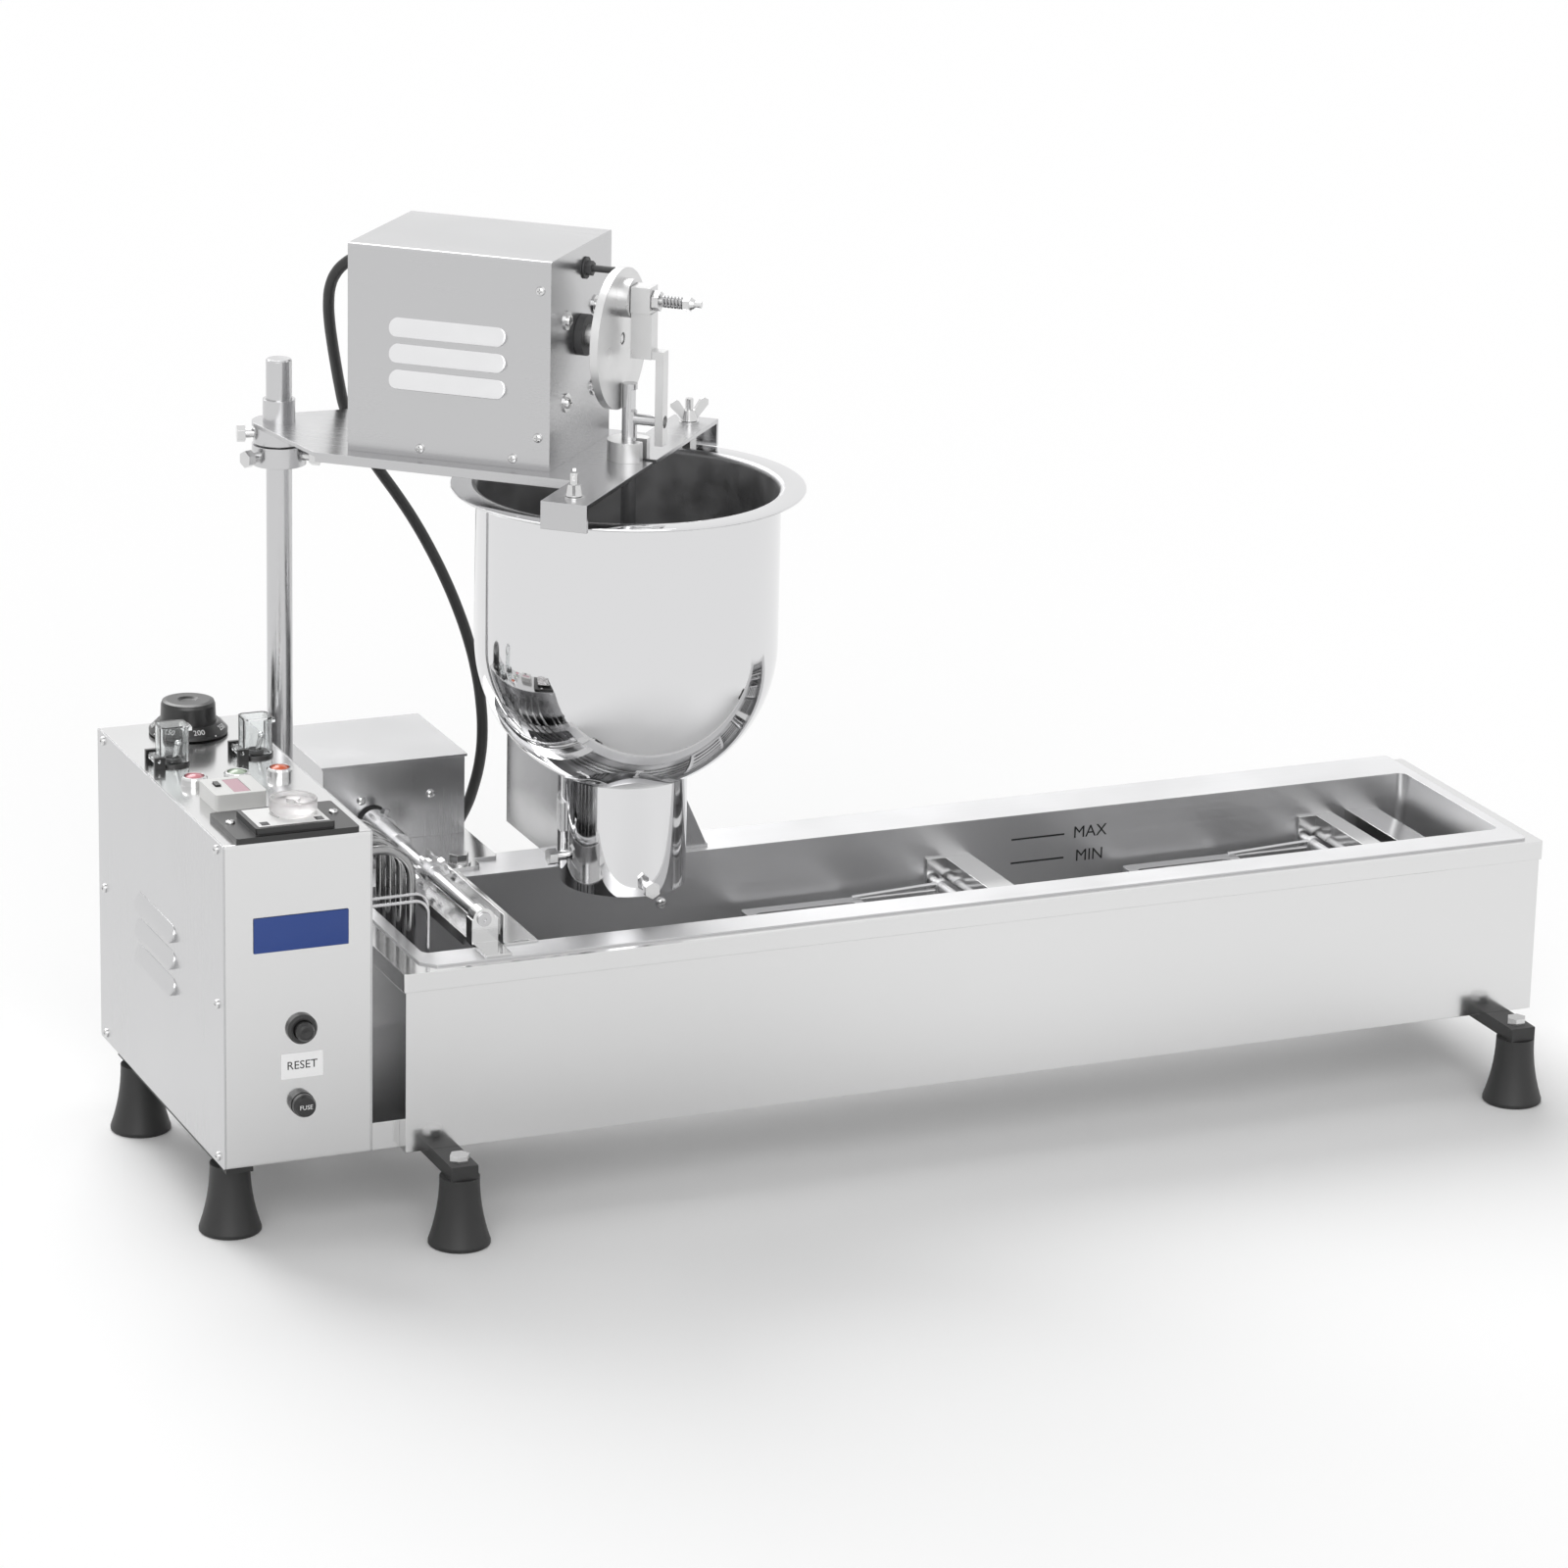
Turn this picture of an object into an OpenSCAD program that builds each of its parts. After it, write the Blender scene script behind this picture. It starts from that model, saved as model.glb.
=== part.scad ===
// Automatic benchtop doughnut machine: dough hopper with a crank-driven plunger,
// a long oil pan with two flippers, and a control box at its left end.
// All sizes are in millimetres. +Z is up, +X runs along the oil pan from the
// control box to the outlet, and -Y is the operator's side.

/* [Sheet metal] */
// Thickness of the folded steel sheet of the cases
sheet_t = 1.5; // [1:0.1:2.5]
// Clearance between a shaft and the bore it turns in, on the radius
run_fit = 0.05; // [0.02:0.01:0.09]
// Gap between two pieces that move past each other
move_gap = 0.4; // [0.3:0.1:0.8]

/* [Control box] */
// Width of the control box
box_w = 110; // [100:1:125]
// Depth of the control box
box_d = 298; // [280:1:320]
// Height of the control box
box_h = 240; // [200:1:280]
// Width of the flanges that the side covers are screwed to
box_flange = 12; // [8:1:16]
// Radius of a case screw's head
screw_head_r = 3.4; // [2.5:0.1:4]

/* [Feet] */
// Height of a rubber foot
foot_h = 51.5; // [40:0.5:70]
// Radius of a foot at the floor
foot_r = 22.5; // [18:0.5:28]
// Radius of a foot at its top
foot_top_r = 14.5; // [12:0.5:17]
// Width of a support bar
bar_w = 20; // [16:1:30]
// Thickness of a support bar
bar_t = 10.5; // [6:0.5:14]

/* [Oil tank] */
// Length of the tank housing, without its rim
tank_l = 916.5; // [860:0.5:980]
// Depth of the tank housing from front to back, without its rim
tank_d = 220; // [205:1:240]
// Height of the tank housing
tank_h = 135; // [120:1:160]
// Gap between the control box and the tank housing
tank_gap = 21.5; // [16:0.5:30]
// Height of the rim band round the top of the tank
rim_h = 14; // [8:1:20]
// How far the rim band stands out from the tank
rim_out = 2; // [1:0.5:3]
// Inner length of the oil pan
pan_l = 875; // [850:1:890]
// Inner width of the oil pan
pan_w = 152; // [140:1:160]
// Inner depth of the oil pan below its flange
pan_depth = 100; // [90:1:115]

/* [Heater] */
// Radius of a heater tube
heater_r = 3.5; // [3:0.1:4.5]
// Distance between the heater tubes
heater_pitch = 22; // [18:1:24]

/* [Hopper] */
// Outer radius of the hopper bowl
bowl_r = 110; // [100:1:116]
// Height of the straight part of the bowl
bowl_straight = 114; // [90:1:140]
// Width of the hopper's top flange
bowl_flange = 18; // [14:1:22]
// Outer radius of the neck below the bowl
neck_r = 46; // [42:1:50]
// Wall of the hopper
hopper_t = 1.5; // [1:0.1:2.5]
// Inner radius of the forming cylinder
former_r = 25; // [18:0.5:30]

/* [Arm and post] */
// Radius of the post
post_r = 9.5; // [8:0.5:12]
// Height of the top of the post above the floor
post_top = 575; // [560:1:600]
// Thickness of the arm plate
arm_t = 3; // [2:0.5:4]
// Half of the width of the arm plate
arm_half = 75; // [70:1:85]

/* [Crank drive] */
// Length of the motor cover along the arm
motor_l = 155; // [140:1:165]
// Width of the motor cover across the arm
motor_w = 120; // [110:1:130]
// Height of the motor cover
motor_h = 152; // [140:1:170]
// Radius of the crank disc
crank_r = 51; // [45:1:54]
// Throw of the crank pin, half of the plunger's stroke
crank_throw = 30; // [24:1:32]
// Radius of the plunger rod
rod_r = 5.5; // [4:0.5:7]

/* [Flippers] */
// Length of a flipper's slotted plate along the pan
flip_plate_l = 96; // [80:1:110]
// Distance from a flipper's pivot to the near edge of its plate
flip_arm_l = 69; // [60:1:80]
// Radius of a flipper shaft
flip_shaft_r = 4; // [3:0.5:5]
// Radius of the crank arms that the link bar joins
flip_crank = 20; // [16:1:22]

/* [Cable] */
// Diameter of the motor cable
cable_d = 8.5; // [6:0.5:10]

/* [Hidden] */
$fn = 48;
eps = 0.01;

// Heights of the levels that pieces stand on
base_z = foot_h + bar_t;
box_top = base_z + box_h;
rim_top = base_z + tank_h;
pan_top = rim_top + sheet_t;
pan_floor = pan_top - pan_depth;

// Tank and pan outline
tank_x0 = box_w + tank_gap;
tank_x1 = tank_x0 + tank_l;
tank_y0 = -10;
tank_y1 = tank_y0 + tank_d;
pan_x0 = tank_x0 + 24.5;
pan_x1 = pan_x0 + pan_l;
pan_y0 = 23;
pan_y1 = pan_y0 + pan_w;
pan_mid = (pan_y0 + pan_y1) / 2;
pan_flange_y0 = -4;
pan_flange_y1 = pan_y1 + 45;

// Feet and bars
box_foot_x = 17;
box_foot_y = [41, box_d - 42];
tank_bar_x = [tank_x0 + 30.5, tank_x1 - 28];
tank_foot_y = [tank_y0 - 28.5, tank_y1 + 28.5];
bar_end = 11.5;
foot_bolt_r = 4;
bolt_af = 13;
bolt_head_h = 5.5;

// Hopper, seated over the middle of the pan
hopper_x = tank_x0 + 206.5;
hopper_y = pan_mid - 1;
neck_z = pan_top + 13.5;
bowl_z = 394;
hopper_top = bowl_z + bowl_straight + 2;
former_z = neck_z - 6;
former_top = neck_z + 78;
former_ring_z = neck_z + 1;
former_ring_h = 28;
former_wall = 4;

// Post and the arm that reaches from it to the hopper
post_x = tank_x0 + 4;
post_y = tank_y1 + 71;
arm_angle = atan2(hopper_y - post_y, hopper_x - post_x);
arm_len = norm([hopper_x - post_x, hopper_y - post_y]);
arm_top = hopper_top + 18.5;
arm_lip = 7;
arm_shoulder_a = 60 - arm_len;
hub_r = 19;
sleeve_r = 12;
sleeve_h = 16.5;
cross_a0 = -15;
cross_a1 = 19.5;
cross_half = 136;
cross_drop = 20;
stud_b = 118;
stud_a = 3;
stud_r = 3;
stud_top = arm_top + 18;

// Motor cover and crank
motor_a1 = -38;
motor_a0 = motor_a1 - motor_l;
motor_gland_b = 20;
crank_z = arm_top + 87.5;
crank_a0 = -12;
crank_t = 6;
crank_face = crank_a0 + crank_t;
boss_a1 = 2;
crank_shaft_r = 8;
crank_bore_z0 = motor_a1 - 40;
pin_r = 5;
pin_z = crank_z + crank_throw;
block_a0 = boss_a1 + move_gap;
block_a1 = 17;
stud_nut_a = block_a1 + move_gap;
spring_a0 = stud_nut_a + 5;
spring_a1 = 40;
crank_stud_a1 = 53;
bar_a0 = cross_a1 + 1.5;
bar_a1 = bar_a0 + 6;
cross_pin_z = crank_z - 58;
cross_pin_r = 4;
rod_top = cross_pin_z + 26;
guide_h = 14.5;
guide_r = 16;
guide_flat = 12;
cutter_z = pan_top + 41.5;
cutter_h = 6;
piston_z = cutter_z + 28;
piston_h = 12;

// Drive box behind the tank
mount_t = 3;
mount_top = pan_top + mount_t;
drive_x0 = tank_x0 + 32.5;
drive_x1 = drive_x0 + 112;
drive_y0 = tank_y1 + 56;
drive_y1 = drive_y0 + 108;
drive_top = 264;
shaft_x = drive_x0 + 39;
shaft_z = pan_top + 19.5;
shaft_r = 5;
star_y = 142;
star_r = 13.6;
bridge_x0 = shaft_x - 8;
bridge_x1 = shaft_x + 11;
baffle_x = shaft_x + 14;

// Flippers turn on shafts beside the cross bars
cross_bar_x = [pan_x0 + 477, pan_x0 + 797];
cross_bar_w = [22, 16];
cross_bar_top = pan_top - 26.5;
cross_bar_h = 17;
flip_z = cross_bar_top - 20;
flip_x = [for (x = cross_bar_x) x - 7];
flip_y0 = pan_y0 + 15;
flip_y1 = pan_y1 - 9;
flip_crank_angle = -60;
flip_crank_y = pan_y0 + 5;
link_y = flip_crank_y + 3 + move_gap;
link_t = 3;
link_pin_r = 2.5;
link_x0 = baffle_x + 13;

// Pieces on the top and front of the control box
knob_pos = [60, box_d - 31];
knob_r = 29;
switch_pos = [[26, box_d - 100], [89, box_d - 100]];
lamp_pos = [[25.5, 144], [57.5, 144], [89.5, 144]];
lamp_r = 9.5;
counter_pos = [20, 77];
counter_size = [38, 40, 12];
timer_plate = [11, 1.5, 90, 63, 4];
timer_face = [26, 4.5, 58, 46, 9];
dial_pos = [62, 31.5];
dial_r = 17;
reset_pos = [57, box_top - 140];
fuse_pos = [57, box_top - 196];
gland_pos = [55, base_z + 30];
cable_entry_pos = [82.5, base_z + 88];

// Heater tubes leave the box high on its right side and drop into the pan
heater_y0 = 70;
heater_z = box_top - 39;
heater_leg_x = pan_x0 + 7.5;
heater_floor_z = pan_floor + 10;
heater_bend = 24;
heater_x1 = pan_x1 - 30;

// The model's origin is the middle of its base
origin_x = (box_foot_x - foot_r + tank_x1 + rim_out) / 2;
origin_y = (tank_foot_y[0] - foot_r + drive_y1) / 2;

// Route of the motor cable, from the motor cover to the back of the control box
cable_route = [[203, 247, 654.5], [196.5, 253, 654], [188.5, 260.5, 651.5], [182, 268, 645.5],
    [177, 275, 636.5], [175, 281, 625.5], [175.5, 286, 613], [178, 291.5, 598], [182.5, 298.5, 580],
    [188, 306.5, 561], [193.5, 314, 543], [199.5, 320.5, 524.5], [209, 326, 504.5],
    [220, 329.5, 486.5], [232, 331, 469], [246, 331, 449], [259.5, 330, 427.5], [271.5, 328, 405],
    [282, 326, 382.5], [291, 323.5, 359.5], [298.5, 321, 336], [304, 318.5, 312], [307.5, 317, 287.5],
    [309, 317, 263.5], [308.5, 320, 240.5], [306, 326, 218], [302, 334, 197], [295, 343, 178],
    [284, 350.5, 162.5], [269, 355.5, 152], [249, 358.5, 145.5], [226, 359.5, 142.5],
    [201, 359, 141.5], [176, 358, 141.5], [151, 356, 143], [128, 351.5, 145.5], [108, 343.5, 148],
    [93, 331.5, 149.5], [84.5, 317, 150], [82.5, 304, 150], [82.5, 297, 150]];

module placed() {
    translate([-origin_x, -origin_y, 0]) children();
}

// Frame whose X axis runs along the arm and whose Z axis is the hopper's axis
module on_arm() {
    placed() translate([hopper_x, hopper_y, 0]) rotate([0, 0, arm_angle]) children();
}

module rod_x(x0, x1, r) {
    translate([x0, 0, 0]) rotate([0, 90, 0]) cylinder(r = r, h = x1 - x0);
}

module rod_y(y0, y1, r) {
    translate([0, y0, 0]) rotate([-90, 0, 0]) cylinder(r = r, h = y1 - y0);
}

module tube(r_out, r_in, h) {
    difference() {
        cylinder(r = r_out, h = h);
        translate([0, 0, -1]) cylinder(r = r_in, h = h + 2);
    }
}

module box_at(x0, x1, y0, y1, z0, z1) {
    translate([x0, y0, z0]) cube([x1 - x0, y1 - y0, z1 - z0]);
}

// Rectangle with round corners, made of plain squares and circles
module round_rect(w, d, r) {
    translate([r, 0]) square([w - 2 * r, d]);
    translate([0, r]) square([w, d - 2 * r]);
    for (x = [r, w - r]) for (y = [r, d - r]) translate([x, y]) circle(r = r);
}

module round_box(x0, x1, y0, y1, z0, z1, r) {
    translate([x0, y0, z0]) linear_extrude(z1 - z0) round_rect(x1 - x0, y1 - y0, r);
}

// Slot with round ends, centred on the origin along X
module slot(l, w) {
    square([l - w, w], center = true);
    for (s = [-1, 1]) translate([s * (l - w) / 2, 0]) circle(d = w);
}

// Pan-head screw with a cross recess; its head stands on z = 0
module pan_screw(r, depth = 3) {
    head_h = r * 0.62;
    difference() {
        union() {
            rotate_extrude() polygon([[0, 0], [r, 0], [r, head_h * 0.35], [r * 0.86, head_h * 0.75],
                [r * 0.5, head_h], [0, head_h]]);
            translate([0, 0, -depth]) cylinder(r = r * 0.5, h = depth + eps);
        }
        for (a = [0, 90]) rotate([0, 0, a]) translate([-r * 0.55, -r * 0.11, head_h * 0.4])
            cube([r * 1.1, r * 0.22, head_h]);
    }
}

// Hexagon bolt standing on z = 0, with its shank below
module hex_bolt(af, head, shank_r, depth) {
    cylinder(d = af / cos(30), h = head, $fn = 6);
    translate([0, 0, -depth]) cylinder(r = shank_r, h = depth + eps);
}

// Louvre: a pressed hood over a slot, on a sheet in the XY plane facing +Z.
// The hood leans out from the slot's top edge and is open along its bottom edge.
louvre_l = 86;
louvre_w = 10;
louvre_out = 3.5;
louvre_skin = 1;
module louvre_slot() {
    translate([0, 0, -5]) linear_extrude(10) slot(louvre_l, louvre_w);
}
module louvre_hood() {
    w = louvre_w / 2;
    for (s = [-1, 1]) translate([s * (louvre_l / 2 - 2), 0, 0]) rotate([90, 0, 90])
        linear_extrude(louvre_skin, center = true)
            polygon([[w, 0], [-w, louvre_out], [-w, 0]]);
    rotate([90, 0, 90]) linear_extrude(louvre_l - 3, center = true)
        polygon([[w + 1, 0], [w + 1, 0.4], [-w, louvre_out + 0.4], [-w, louvre_out - louvre_skin + 0.4],
            [w - 2.5, 0]]);
}

// ---- Control box ----

// Round holes through the top sheet: [x, y, radius]
top_holes = [[knob_pos[0], knob_pos[1], 6], [switch_pos[0][0], switch_pos[0][1], 6.2],
    [switch_pos[1][0], switch_pos[1][1], 6.2], [lamp_pos[0][0], lamp_pos[0][1], 6.2],
    [lamp_pos[1][0], lamp_pos[1][1], 6.2], [lamp_pos[2][0], lamp_pos[2][1], 6.2]];
bezel_barrel_r = 8;
side_screw_y = [14, box_d - 14];
side_screw_z = [base_z + 6, base_z + box_h / 2, box_top - 6];
screw_hole_r = screw_head_r * 0.5 + 0.05;

module control_housing() {
    t = sheet_t;
    color("gainsboro") placed() difference() {
        translate([t, 0, base_z]) rotate([90, 0, 90]) linear_extrude(box_w - 2 * t)
            round_rect(box_d, box_h, 2);
        box_at(2 * t, box_w - 2 * t, t, box_d - t, base_z + t, box_top - t);
        box_at(-1, box_w + 1, t + box_flange, box_d - t - box_flange,
            base_z + t + box_flange, box_top - t - box_flange);
        for (h = top_holes) translate([h[0], h[1], box_top - 5]) cylinder(r = h[2], h = 10);
        box_at(timer_face[0] + 4, timer_face[0] + timer_face[2] - 4, timer_face[1] + 4,
            timer_face[1] + timer_face[3] - 4, box_top - 5, box_top + 5);
        box_at(counter_pos[0] + 4, counter_pos[0] + counter_size[0] - 4, counter_pos[1] + 4,
            counter_pos[1] + counter_size[1] - 4, box_top - 5, box_top + 5);
        for (p = [reset_pos, fuse_pos]) translate([p[0], 0, p[1]]) rod_y(-5, 5, bezel_barrel_r + 0.1);
        translate([gland_pos[0], 0, gland_pos[1]]) rod_y(box_d - 5, box_d + 5, 8.1);
        translate([cable_entry_pos[0], 0, cable_entry_pos[1]]) rod_y(box_d - 5, box_d + 5,
            cable_d / 2 + 0.4);
        for (y = box_foot_y) translate([box_foot_x, y, base_z - 5]) cylinder(r = foot_bolt_r + 0.1,
            h = 10);
        for (y = side_screw_y) for (z = side_screw_z)
            translate([0, y, z]) rod_x(-1, box_w + 1, screw_hole_r);
    }
}

module cover_sheet() {
    rotate([90, 0, 90]) linear_extrude(sheet_t) difference() {
        translate([0, base_z]) round_rect(box_d, box_h, 2);
        for (y = side_screw_y) for (z = side_screw_z) translate([y, z]) circle(r = screw_hole_r);
    }
}

left_louvre_y = 156;
left_louvre_z = [box_top - 102, box_top - 122, box_top - 142];

heater_legs = [for (i = [0:3]) heater_y0 + i * heater_pitch];
capillary_y = [29, 44];
capillary_z = box_top - 66;
capillary_r = 1.2;

module side_covers() {
    color("silver") placed() {
        difference() {
            cover_sheet();
            for (z = left_louvre_z) translate([0, left_louvre_y, z]) rotate([90, 0, -90]) louvre_slot();
        }
        for (z = left_louvre_z) translate([0, left_louvre_y, z]) rotate([90, 0, -90]) louvre_hood();
        difference() {
            translate([box_w - sheet_t, 0, 0]) cover_sheet();
            for (y = heater_legs) translate([0, y, heater_z]) rod_x(box_w - 5, box_w + 5, heater_r + 0.3);
            for (y = capillary_y) translate([0, y, capillary_z]) rod_x(box_w - 5, box_w + 5,
                capillary_r + 0.3);
        }
    }
}

motor_screws = [[-46, motor_h - 21.5], [-47, 24], [-66, 7], [-137, 7]];
crank_screw_b = 28;
crank_screw_z = [crank_z - 44, crank_z + 16];
drive_screw_x = [drive_x0 + 30, drive_x1 - 27];
drive_screw_z = drive_top - 29;

module case_screws() {
    color("lightgray") {
        placed() {
            for (y = side_screw_y) for (z = side_screw_z) {
                translate([0, y, z]) rotate([0, -90, 0]) pan_screw(screw_head_r);
                translate([box_w, y, z]) rotate([0, 90, 0]) pan_screw(screw_head_r);
            }
            for (x = drive_screw_x) translate([x, drive_y0, drive_screw_z]) rotate([90, 0, 0])
                pan_screw(screw_head_r, 1.5);
            for (x = [timer_plate[0] + 7, timer_plate[0] + timer_plate[2] - 7])
                translate([x, timer_plate[1] + 37, box_top + timer_plate[4]]) pan_screw(screw_head_r);
            translate([pan_x0 + 244, pan_y1, pan_top - 38]) rotate([90, 0, 0])
                pan_screw(screw_head_r + 1, 1);
        }
        on_arm() {
            for (p = motor_screws) translate([p[0], -motor_w / 2, arm_top + p[1]]) rotate([90, 0, 0])
                pan_screw(screw_head_r, 1.5);
            for (b = [-1, 1]) for (z = crank_screw_z) translate([motor_a1, b * crank_screw_b, z])
                rotate([0, 90, 0]) {
                    tube(7, 2.6, 1.2);
                    translate([0, 0, 1.2]) pan_screw(4.2, 3.5);
                }
        }
    }
}

// Contactor, terminal block and the rail that carries them, inside the box
module control_gear() {
    z0 = base_z + sheet_t;
    color("dimgray") placed() {
        difference() {
            box_at(25, 85, 60, 240, z0, z0 + 7);
            box_at(28, 82, 59, 241, z0 + 1.2, z0 + 8);
        }
        difference() {
            box_at(30, 80, 140, 215, z0 + 1, z0 + 90);
            for (x = [38, 51, 64]) box_at(x, x + 8, 139, 150, z0 + 70, z0 + 91);
        }
        difference() {
            box_at(38, 72, 70, 125, z0 + 1, z0 + 32);
            for (y = [76:12:112]) translate([55, y + 3, z0 + 20]) cylinder(r = 3, h = 20);
        }
    }
}

module thermostat_body() {
    color("silver") placed() translate([knob_pos[0], knob_pos[1], 0]) {
        translate([0, 0, box_top - sheet_t - 38]) cylinder(r = 21, h = 32);
        translate([0, 0, box_top - sheet_t - 6]) cylinder(r = 14, h = 6);
        translate([0, 0, box_top - sheet_t - eps]) cylinder(r = 5.5, h = 1.5);
        translate([0, 0, box_top - sheet_t]) cylinder(r = 3, h = 20);
    }
}

module thermostat_knob() {
    z0 = box_top + 1;
    color("#262626") placed() translate([knob_pos[0], knob_pos[1], z0]) difference() {
        rotate_extrude() polygon([[0, 0], [knob_r, 0], [knob_r, 2.5], [knob_r - 6, 8.5], [20.6, 8.5],
            [20, 21], [19, 23.4], [16, 24.2], [8, 24], [6, 22.6], [0, 22.4]]);
        translate([0, 0, -1]) cylinder(r = 3 + run_fit, h = 20.5);
        translate([0, 0, -1]) tube(18, 6, 5);
    }
}

module timer_body() {
    p = timer_plate;
    f = timer_face;
    color("#303030") placed() difference() {
        union() {
            round_box(p[0], p[0] + p[2], p[1], p[1] + p[3], box_top, box_top + p[4], 2);
            round_box(f[0], f[0] + f[2], f[1], f[1] + f[3], box_top + p[4] - eps, box_top + f[4], 2);
            box_at(f[0] + 5, f[0] + f[2] - 5, f[1] + 5, f[1] + f[3] - 5, box_top - 55, box_top + eps);
        }
        for (x = [p[0] + 7, p[0] + p[2] - 7])
            translate([x, p[1] + 37, box_top - 1]) cylinder(r = screw_hole_r, h = 10);
        translate([dial_pos[0], dial_pos[1], box_top + f[4] - 6]) cylinder(r = 3 + run_fit, h = 10);
    }
}

module timer_dial() {
    z0 = box_top + timer_face[4];
    color("white", 0.6) placed() translate([dial_pos[0], dial_pos[1], z0]) union() {
        translate([0, 0, 0.3]) difference() {
            rotate_extrude() polygon([[0, 0], [dial_r - 2.5, 0], [dial_r, 3], [dial_r, 10.2],
                [dial_r - 0.6, 11],
                [0, 11]]);
            translate([0, 0, 8]) tube(dial_r - 2, 5, 5);
        }
        translate([0, 0, -5]) cylinder(r = 3, h = 6);
        translate([-1.2, -dial_r + 3, 8]) cube([2.4, 10, 3.3]);
    }
}

module counter_body() {
    s = counter_size;
    color("#dcdcdc") placed() translate([counter_pos[0], counter_pos[1], box_top]) difference() {
        union() {
            round_box(0, s[0], 0, s[1], 0, s[2], 2.5);
            box_at(5, s[0] - 5, 5, s[1] - 5, -18, eps);
        }
        box_at(s[0] * 0.40, s[0] * 0.72, s[1] * 0.10, s[1] * 0.86, s[2] - 0.8, s[2] + 1);
        translate([s[0] * 0.22, s[1] * 0.6, s[2] - 4]) linear_extrude(6)
            square([4.4, 9.4], center = true);
    }
}

module counter_button() {
    s = counter_size;
    color("#202020") placed()
        translate([counter_pos[0] + s[0] * 0.22, counter_pos[1] + s[1] * 0.6, box_top + s[2] - 2.5])
            linear_extrude(4) square([3.6, 8.6], center = true);
}

module lamp_bezels() {
    color("lightgray") placed() for (p = lamp_pos) translate([p[0], p[1], box_top]) difference() {
        union() {
            rotate_extrude() polygon([[0, 0], [lamp_r, 0], [lamp_r, 5], [lamp_r - 1, 6.5], [0, 6.5]]);
            translate([0, 0, -22]) cylinder(r = 6, h = 22 + eps);
        }
        translate([0, 0, 1.5]) cylinder(r = lamp_r - 2.2, h = 10);
    }
}

module lamp_lens(i) {
    p = lamp_pos[i];
    r = lamp_r - 2.3;
    placed() translate([p[0], p[1], box_top + 1.5]) rotate_extrude()
        polygon([[0, 0], [r, 0], [r, 3], [r * 0.8, 4.4], [r * 0.45, 5.2], [0, 5.5]]);
}
module lamp_lenses() {
    tints = ["#e88", "#9c9", "#e85"];
    for (i = [0:2]) color(tints[i]) lamp_lens(i);
}

// Toggle switches: round base on the top sheet, ears for the clear cover's hinge
cover_hinge_dx = 14;
cover_hinge_z = box_top + 5.5;
cover_pin_r = 1.5;
cover_w = 22;
cover_h = 27;
lever_rest = 14;

module switch_bodies() {
    color("#333") placed() for (p = switch_pos) translate([p[0], p[1], box_top]) difference() {
        union() {
            cylinder(r = 13, h = 2);
            translate([0, 0, -24]) cylinder(r = 6, h = 24 + eps);
            translate([0, 0, -44]) box_at(-8, 8, -14, 14, 0, 21);
            cylinder(r = 6, h = 4.5);
            for (s = [-1, 1]) translate([0, s * 11 - 1.5, 0])
                box_at(-cover_hinge_dx - 3, -9, 0, 3, 0, cover_hinge_z - box_top + 3);
        }
        translate([0, 0, -3]) cylinder(r1 = 2.6, r2 = 5, h = 8);
        translate([-cover_hinge_dx, 0, cover_hinge_z - box_top]) rod_y(-20, 20, cover_pin_r + run_fit);
        translate([0, 0, -3]) sphere(r = 3.4);
    }
}

module switch_lever(i) {
    p = switch_pos[i];
    color("silver") placed() translate([p[0], p[1], box_top - 3]) rotate([0, lever_rest, 0]) {
        rod_y(-2.2, 2.2, 2.2);
        cylinder(r1 = 1.6, r2 = 2.1, h = 18);
        translate([0, 0, 18]) sphere(r = 2.5);
    }
}
module switch_lever_left() {
    switch_lever(0);
}
module switch_lever_right() {
    switch_lever(1);
}

module switch_cover(i) {
    p = switch_pos[i];
    w = cover_w;
    z0 = box_top + 2.6;
    color("white", 0.4) placed() translate([p[0], p[1], 0]) union() {
        difference() {
            round_box(-w / 2, w / 2, -w / 2 + 2, w / 2 - 2, z0, z0 + cover_h, 4);
            round_box(-w / 2 + 1.5, w / 2 - 1.5, -w / 2 + 3.5, w / 2 - 3.5, z0 - 1, z0 + cover_h - 1.5,
                2.5);
        }
        box_at(w / 2 - 4, w / 2 + 2.5, -5, 5, z0 + cover_h - 5, z0 + cover_h - 2);
        difference() {
            box_at(-cover_hinge_dx - 2, -w / 2 + 0.5, -6, 6, cover_hinge_z - 2, cover_hinge_z + 2);
            box_at(-cover_hinge_dx - 3, -cover_hinge_dx - 1.4, -7, 7, cover_hinge_z + 1.4,
                cover_hinge_z + 3);
        }
        translate([-cover_hinge_dx, 0, cover_hinge_z]) rod_y(-12.3, 12.3, cover_pin_r);
    }
}
module switch_cover_left() {
    switch_cover(0);
}
module switch_cover_right() {
    switch_cover(1);
}

// Bezel of the reset button and holder of the fuse, on the front sheet
button_r = 7;
fuse_r = 5;
module panel_bezels() {
    color("#222") placed() {
        translate([reset_pos[0], 0, reset_pos[1]]) rotate([90, 0, 0]) difference() {
            union() {
                rotate_extrude() polygon([[0, 0], [11, 0], [11, 3], [9.5, 5], [0, 5]]);
                translate([0, 0, -20]) cylinder(r = bezel_barrel_r, h = 20 + eps);
            }
            translate([0, 0, -12]) cylinder(r = button_r + move_gap, h = 30);
        }
        translate([fuse_pos[0], 0, fuse_pos[1]]) rotate([90, 0, 0]) difference() {
            union() {
                cylinder(r = 8.8, h = 3);
                translate([0, 0, -35]) cylinder(r = bezel_barrel_r, h = 35 + eps);
            }
            translate([0, 0, -30]) cylinder(r = fuse_r + run_fit, h = 50);
        }
    }
}

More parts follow.
